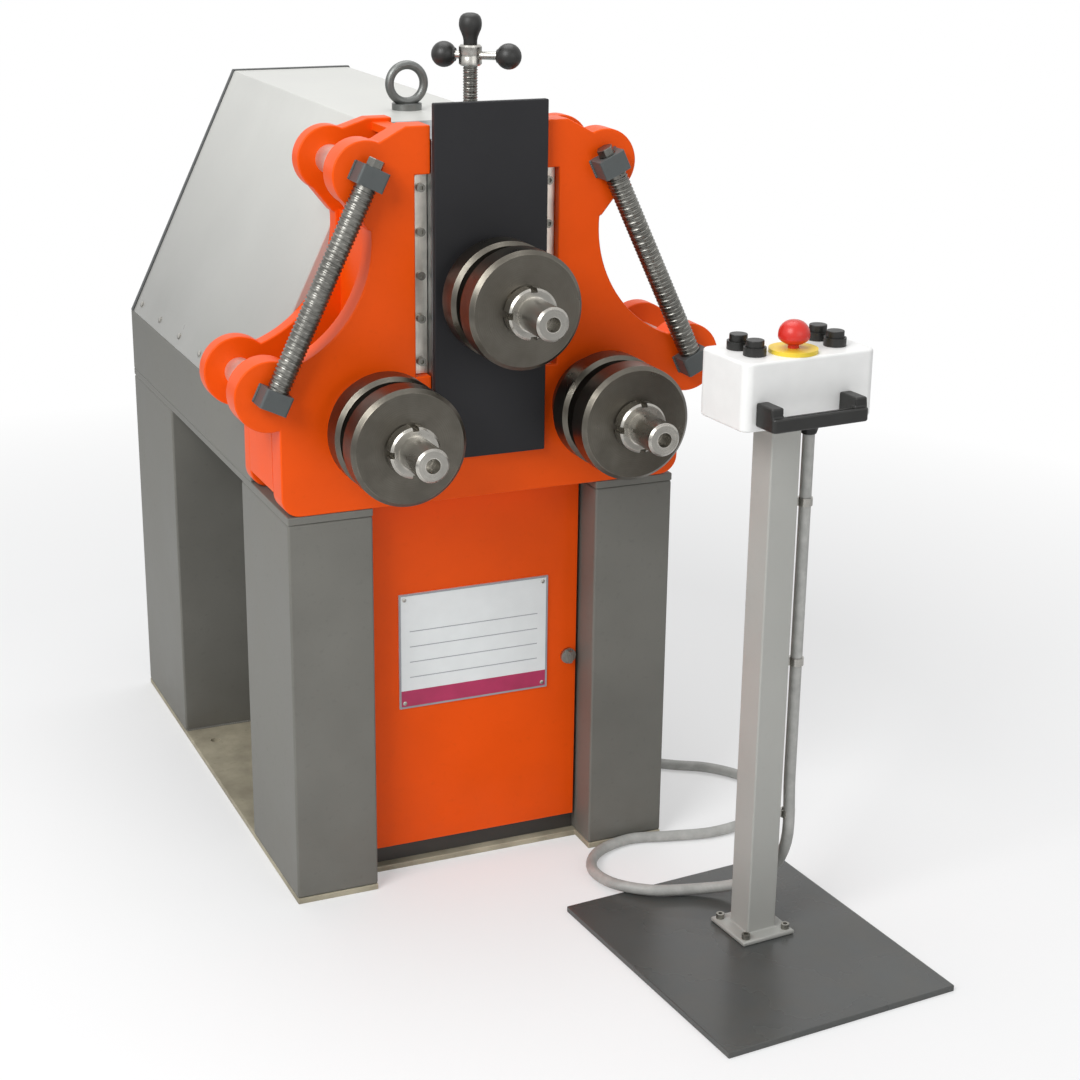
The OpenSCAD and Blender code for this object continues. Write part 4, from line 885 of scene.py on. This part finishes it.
def bezel_tree():
    """Rings of square section, one on each of two by two spots."""
    tree, sizes, out = new_tree("button_bezels", [
        ("Across", "NodeSocketFloat", 0.136), ("Deep", "NodeSocketFloat", 0.042),
        ("Ring Radius", "NodeSocketFloat", 0.015), ("Wall", "NodeSocketFloat", 0.0025),
        ("Height", "NodeSocketFloat", 0.008), ("Material", "NodeSocketMaterial", None),
    ])
    spots = add_node(tree, "GeometryNodeMeshGrid", {
        "Size X": sizes["Across"], "Size Y": sizes["Deep"], "Vertices X": 2, "Vertices Y": 2,
    })
    ring = add_node(tree, "GeometryNodeCurvePrimitiveCircle", {
        "Resolution": 40, "Radius": sizes["Ring Radius"],
    })
    section = add_node(tree, "GeometryNodeCurvePrimitiveQuadrilateral", {
        "Width": sizes["Wall"], "Height": sizes["Height"],
    })
    collar = add_node(tree, "GeometryNodeCurveToMesh", {
        "Curve": ring.outputs[0], "Profile Curve": section.outputs[0],
    })
    finish_tree(tree, on_points(tree, spots.outputs[0], collar.outputs[0]), sizes, out)
    return tree


def make_bezels():
    height = 0.0120
    mesh = grow(bezel_tree(), "button_bezels", {
        "Across": BUTTON_SPREAD[0], "Deep": BUTTON_SPREAD[1], "Ring Radius": 0.0150, "Wall": 0.0028,
        "Height": height, "Material": black_grip,
    }, BOX_PLACE @ Matrix.Translation((0, BUTTON_SHIFT, BOX_HEIGHT + height / 2)))
    dress_piece(add_object("button_bezels", mesh), black_grip, "frame")


def make_cable_clips():
    """Saddle clips that hold the cable against the post."""
    bm = bmesh.new()
    lane = Vector((CABLE_LANE[0], CABLE_LANE[1] + FRONT_Y, 0))
    to_post = STAND_PLACE @ Vector(CLIP_SEAT) - lane
    turn = math.atan2(to_post.y, to_post.x)
    inner = CABLE_DIAMETER / 2 + 0.0002
    outer = CABLE_DIAMETER / 2 + 0.0022
    half = 0.006
    band = [(inner, -half), (outer, -half), (outer, half), (inner, half), (inner, -half)]
    length = to_post.length - inner
    for z in CLIP_HEIGHTS:
        place = Matrix.Translation((lane.x, lane.y, z)) @ Matrix.Rotation(turn, 4, "Z")
        add_lathe(bm, band, place, 36)
        tab = bmesh.ops.create_cube(bm, size=1.0)["verts"]
        shape = (
            place @ Matrix.Translation((inner + length / 2, 0, 0))
            @ Matrix.Diagonal((length, 0.0025, 2 * half, 1))
        )
        bmesh.ops.transform(bm, matrix=shape, verts=tab)
    finished(bm, "cable_clips", bright_steel, "frame")


make_estop()
make_bezels()
make_cable_clips()


# Screws, welds and the hood's dark rear edge

def make_screws():
    """Screws round the upper bearing cover, along the hood's two feet and on the rear panel."""
    ring = grow(SCREW_RING, "upper_cover_screws", {
        "Count": 6, "Ring Radius": 0.0635, "Head Radius": 0.0062, "Head Height": 0.0055,
        "Material": screw_zinc,
    }, facing_front(UPPER_AXIS[0], UPPER_COVER_Y, UPPER_AXIS[1]))
    dress_piece(add_object("upper_cover_screws", ring), screw_zinc, "slide")

    heads = {"Head Radius": 0.0055, "Head Height": 0.0034, "Material": bright_steel}
    rows = []
    run = HOOD_FOOT[0] - HOOD_SHOULDER[0]
    rise = HOOD_SHOULDER[1] - HOOD_FOOT[1]
    above_foot = 0.022
    first_y = FRONT_Y + 0.245
    for side in (-1, 1):
        foot = Vector((side * HOOD_FOOT[0], 0, HOOD_FOOT[1]))
        spot = foot + Vector((-side * run, 0, rise)).normalized() * above_foot
        lean = Matrix.Rotation(side * math.atan2(rise, run), 4, "Y")
        place = Matrix.Translation((spot.x, first_y, spot.z)) @ lean @ turned(90, "Z")
        rows.append(grow(SCREW_ROW, "row", {"Count": 6, "Spacing": 0.136, **heads}, place))
    panel_recess, head_sink = 0.004, 0.0004
    panel_y = -FRONT_Y - panel_recess - head_sink
    for z, reach, count in ((0.785, 0.270, 5), (1.160, 0.095, 3)):
        place = Matrix.Translation((reach, panel_y, z)) @ turned(-90, "X") @ turned(180, "Z")
        spacing = 2 * reach / (count - 1)
        rows.append(grow(SCREW_ROW, "row", {"Count": count, "Spacing": spacing, **heads}, place))
    piece = add_object("casing_screws", join_meshes("casing_screws", rows))
    dress_piece(piece, bright_steel, "frame")


WELD_END = 0.005


def make_leg_welds():
    """Beads at each leg's foot, across its face towards the middle and along its outer face."""
    bead = {"Drop Radius": 0.0032, "Material": leg_grey}
    legs = (
        (FRONT_Y, FRONT_LEG_DEPTH, FRONT_Y + FRONT_LEG_DEPTH),
        (REAR_LEG_Y, REAR_LEG_DEPTH, REAR_LEG_Y),
    )
    beads = []
    for side in (-1, 1):
        for near_y, depth, inner_y in legs:
            across = Matrix.Translation((side * LEG_INNER_X, inner_y, 0.010)) @ turned(90 - side * 90, "Z")
            beads.append(grow(WELD, "bead", {"Length": 0.130, **bead}, across))
            along = Matrix.Translation((side * LEG_WELD_X, near_y + WELD_END, 0.0105)) @ turned(90, "Z")
            beads.append(grow(WELD, "bead", {"Length": depth - 2 * WELD_END, **bead}, along))
    piece = add_object("leg_welds", join_meshes("leg_welds", beads))
    dress_piece(piece, leg_grey, "frame")


def make_block_welds():
    """Beads up both sides of each spindle end block, where it meets its lug."""
    run = 2 * BLOCK_HALF - WELD_END
    bead = {"Length": run, "Drop Radius": 0.0026, "Material": block_dark}
    lug_y = FRONT_Y - SPINDLE_FOOT[1]
    seams = []
    for side in (-1, 1):
        for height in (0.0, SPINDLE_LENGTH):
            for edge in (-1, 1):
                foot = Matrix.Translation((edge * BLOCK_WIDTH / 2, lug_y, height + run / 2))
                seams.append(grow(WELD, "seam", bead, spindle_place(side) @ foot @ turned(90, "Y")))
    piece = add_object("block_welds", join_meshes("block_welds", seams))
    dress_piece(piece, block_dark, "frame")


def make_rear_edge_strip():
    """Dark strip over the rear edge of the hood, along its two slopes and its top, that draws the edge as a
    dark line.
    """
    seat, proud = 0.0001, 0.0020
    low_y, high_y = 0.4710, 0.4828
    above_rail = 0.001
    foot_z = HOOD_FOOT[1] + above_rail
    left = [Vector((-HOOD_FOOT[0], foot_z)), Vector((-HOOD_SHOULDER[0], HOOD_SHOULDER[1]))]
    path = left + [Vector((-spot.x, spot.y)) for spot in reversed(left)]
    ways = [(b - a).normalized() for a, b in zip(path, path[1:])]
    outs = [Vector((-w.y, w.x)) for w in ways]
    corners = [outs[0], outs[0] + outs[1], outs[1] + outs[2], outs[2]]
    reach = [1.0, 1.0 / (1 + outs[0].dot(outs[1])), 1.0 / (1 + outs[1].dot(outs[2])), 1.0]
    bm = bmesh.new()
    rows = []
    for spot, corner, far in zip(path, corners, reach):
        outer = spot + corner * far * proud
        inner = spot + corner * far * seat
        rows.append([
            bm.verts.new((p.x, y, p.y))
            for p, y in ((inner, low_y), (outer, low_y), (outer, high_y), (inner, high_y))
        ])
    for first, second in zip(rows, rows[1:]):
        for i in range(4):
            j = (i + 1) % 4
            bm.faces.new((first[i], first[j], second[j], second[i]))
    bm.faces.new(rows[0])
    bm.faces.new(rows[-1])
    bmesh.ops.recalc_face_normals(bm, faces=bm.faces)
    long_edges = [e for e in bm.edges if e.calc_length() > 0.05]
    bmesh.ops.bevel(bm, geom=long_edges, offset=0.0006, segments=2, profile=0.5, affect="EDGES")
    finished(bm, "casing_rear_edge_strip", dark_rear_edge, "frame")


make_screws()
make_leg_welds()
make_block_welds()
make_rear_edge_strip()


# Name plate: plain sheet with a border, a band and empty ruled fields

def add_slab(bm, x_low, x_high, z_low, z_high, proud):
    """Thin flat bar on the plate's face."""
    slab = bmesh.ops.create_cube(bm, size=1.0)["verts"]
    shape = (
        Matrix.Translation(((x_low + x_high) / 2, PLATE_FACE_Y - proud / 2, (z_low + z_high) / 2))
        @ Matrix.Diagonal((x_high - x_low, proud, z_high - z_low, 1))
    )
    bmesh.ops.transform(bm, matrix=shape, verts=slab)


def make_name_plate():
    half_w, half_h = PLATE_HALF
    low, high = PLATE_Z - half_h, PLATE_Z + half_h
    rim, band_height = 0.003, 0.030
    bm = bmesh.new()
    for sides in (
        (-half_w, half_w, low, low + rim),
        (-half_w, half_w, high - rim, high),
        (-half_w, -half_w + rim, low + rim, high - rim),
        (half_w - rim, half_w, low + rim, high - rim),
    ):
        add_slab(bm, *sides, 0.0008)
    finished(bm, "name_plate_border", label_line, "door")
    bm = bmesh.new()
    add_slab(bm, -half_w + rim, half_w - rim, low + rim, low + band_height, 0.0004)
    finished(bm, "name_plate_band", label_band, "door")
    bm = bmesh.new()
    margin, first_line, line_pitch, line_height = 0.018, -0.045, 0.026, 0.0012
    for i in range(4):
        z = PLATE_Z + first_line + i * line_pitch
        add_slab(bm, -half_w + margin, half_w - margin, z, z + line_height, 0.0003)
    finished(bm, "name_plate_lines", label_line, "door")
    rivets = []
    inset = 0.009
    for z in (low + inset, high - inset):
        rivets.append(grow(SCREW_ROW, "row", {
            "Count": 2, "Spacing": 2 * half_w - 2 * inset, "Head Radius": 0.0034, "Head Height": 0.0016,
            "Material": bright_steel,
        }, facing_front(-half_w + inset, PLATE_FACE_Y, z)))
    piece = add_object("name_plate_rivets", join_meshes("name_plate_rivets", rivets))
    dress_piece(piece, bright_steel, "door")


make_name_plate()


# Nodes that keep their shape with softened edges

def ease(node, width, finish, body, shortest=0.0025, segments=2):
    piece = eased_copy(node, width, shortest, segments)
    dress_piece(piece, finish, body)
    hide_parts(node)


ease("base_plate", 0.0015, base_beige, "frame", shortest=0.006)
ease("frame_legs", 0.0040, leg_grey, "frame", shortest=0.05)
ease("deck_plate", 0.0015, leg_grey, "frame", shortest=0.006)
ease("top_rails", 0.0020, leg_grey, "frame")
ease("head_front_plate", 0.0025, orange_paint, "frame", shortest=0.0026)
ease("head_rear_plate", 0.0025, orange_paint, "frame", shortest=0.0026)
ease("gib_strips", 0.0012, gib_steel, "frame", shortest=0.006)
ease("slide_block", 0.0025, slide_steel, "slide", shortest=0.010)
ease("slide_cover", 0.0020, charcoal, "slide", shortest=0.010)
ease("control_box", 0.0040, box_white, "frame", shortest=0.0016, segments=3)
ease("box_handle", 0.0030, black_grip, "frame", shortest=0.0005, segments=3)
ease("spindle_end_blocks", 0.0015, block_dark, "frame", shortest=0.006)
ease("casing_hood", 0.0020, casing_silver, "frame", shortest=0.030)
for spot in ("left_rear", "left_front", "right_rear", "right_front"):
    button = "push_button_" + spot
    ease(button, 0.0012, black_grip, button + "_body", shortest=0.0001)
ease("pedestal_plate", 0.0015, stand_dark, "frame", shortest=0.006)
ease("pedestal_post", 0.0025, post_silver, "frame", shortest=0.010)
ease("door_panel", 0.0012, orange_paint, "door", shortest=0.010)

FINISHES = {
    orange_paint: ["head_box_plates"],
    cabinet_grey: ["cabinet_walls"],
    casing_silver: ["casing_rear_panel"],
    motor_blue: ["gear_motor", "pump_motor"],
    hydraulic_grey: ["cylinder_barrel", "power_unit_tank"],
    bright_steel: [
        "lower_bearings", "upper_bearings", "hydraulic_pipes", "door_hinges", "cylinder_rod", "door_latch",
    ],
    tie_steel_painted_highlight: ["lug_tie_bars"],
    gear_steel: ["left_gear", "right_gear", "drive_gear", "bearing_covers", "upper_bearing_cover"],
    eye_steel: ["lifting_eye"],
    screw_zinc: ["cap_screws"],
    box_white: ["box_floor"],
    collar_yellow: ["estop_collar"],
    label_white: ["name_plate"],
}
for finish, members in FINISHES.items():
    for member in members:
        dress(member, finish)
for side in ("upper", "left", "right"):
    dress(side + "_roll_rings", roll_steels[side])
    dress(side + "_shaft", shaft_steels[side])
    dress(side + "_roll_nut", shaft_steels[side])


# Studio

def make_floor():
    bm = bmesh.new()
    bmesh.ops.create_circle(bm, cap_ends=True, segments=96, radius=40)
    floor = add_object("studio_floor", mesh_from(bm, "studio_floor"))
    mat, nt, shader = new_finish("studio_floor_pale")
    shader.inputs["Base Color"].default_value = (0.92, 0.92, 0.92, 1)
    shader.inputs["Roughness"].default_value = 0.9
    shader.inputs["Specular IOR Level"].default_value = 0.0
    seen = add_node(nt, "ShaderNodeLightPath").outputs["Is Camera Ray"]
    distance = add_node(nt, "ShaderNodeVectorMath", {0: object_point(nt)}, operation="LENGTH")
    far = span(nt, distance.outputs["Value"], 1.1, 2.6, 0.35, 1.0)
    white = add_node(nt, "ShaderNodeEmission", {"Color": (1, 1, 1, 1), "Strength": 1.0})
    mix = add_node(nt, "ShaderNodeMixShader", {
        0: math_of(nt, "MULTIPLY", seen, far), 1: shader.outputs["BSDF"], 2: white.outputs[0],
    })
    out = next(n for n in nt.nodes if n.bl_idname == "ShaderNodeOutputMaterial")
    nt.links.new(mix.outputs[0], out.inputs["Surface"])
    floor.data.materials.append(mat)


def make_world():
    world = bpy.data.worlds.new("studio_world")
    bpy.context.scene.world = world
    world.use_nodes = True
    nt = world.node_tree
    nt.nodes.clear()
    rays = add_node(nt, "ShaderNodeLightPath").outputs
    seen = math_of(nt, "MAXIMUM", rays["Is Camera Ray"],
                   math_of(nt, "MAXIMUM", rays["Is Glossy Ray"], rays["Is Transmission Ray"]))
    light = add_node(nt, "ShaderNodeBackground", {"Color": (0.97, 0.985, 1.0, 1), "Strength": 0.42})
    backdrop = add_node(nt, "ShaderNodeBackground", {"Color": (1, 1, 1, 1), "Strength": 1.0})
    mix = add_node(nt, "ShaderNodeMixShader", {0: seen, 1: light.outputs[0], 2: backdrop.outputs[0]})
    out = nt.nodes.new("ShaderNodeOutputWorld")
    nt.links.new(mix.outputs[0], out.inputs["Surface"])


def add_softbox(name, place, target, size, power):
    data = bpy.data.lights.new(name, "AREA")
    data.shape = "RECTANGLE"
    data.size, data.size_y = size
    data.energy = power
    lamp = bpy.data.objects.new(name, data)
    lamp.location = place
    lamp.rotation_euler = (Vector(target) - Vector(place)).to_track_quat("-Z", "Y").to_euler()
    bpy.context.collection.objects.link(lamp)


make_floor()
make_world()
add_softbox("key_softbox", place=(-2.75, -2.2, 3.2), target=(0.0, -0.3, 0.8), size=(2.0, 2.0), power=104)
add_softbox("front_softbox", place=(0.9, -4.2, 1.9), target=(0.1, -0.5, 0.7), size=(2.4, 1.8), power=17)
add_softbox("top_softbox", place=(0.2, 0.4, 4.0), target=(0.0, 0.0, 0.9), size=(2.6, 2.6), power=54)
bpy.context.scene.view_settings.view_transform = "Standard"
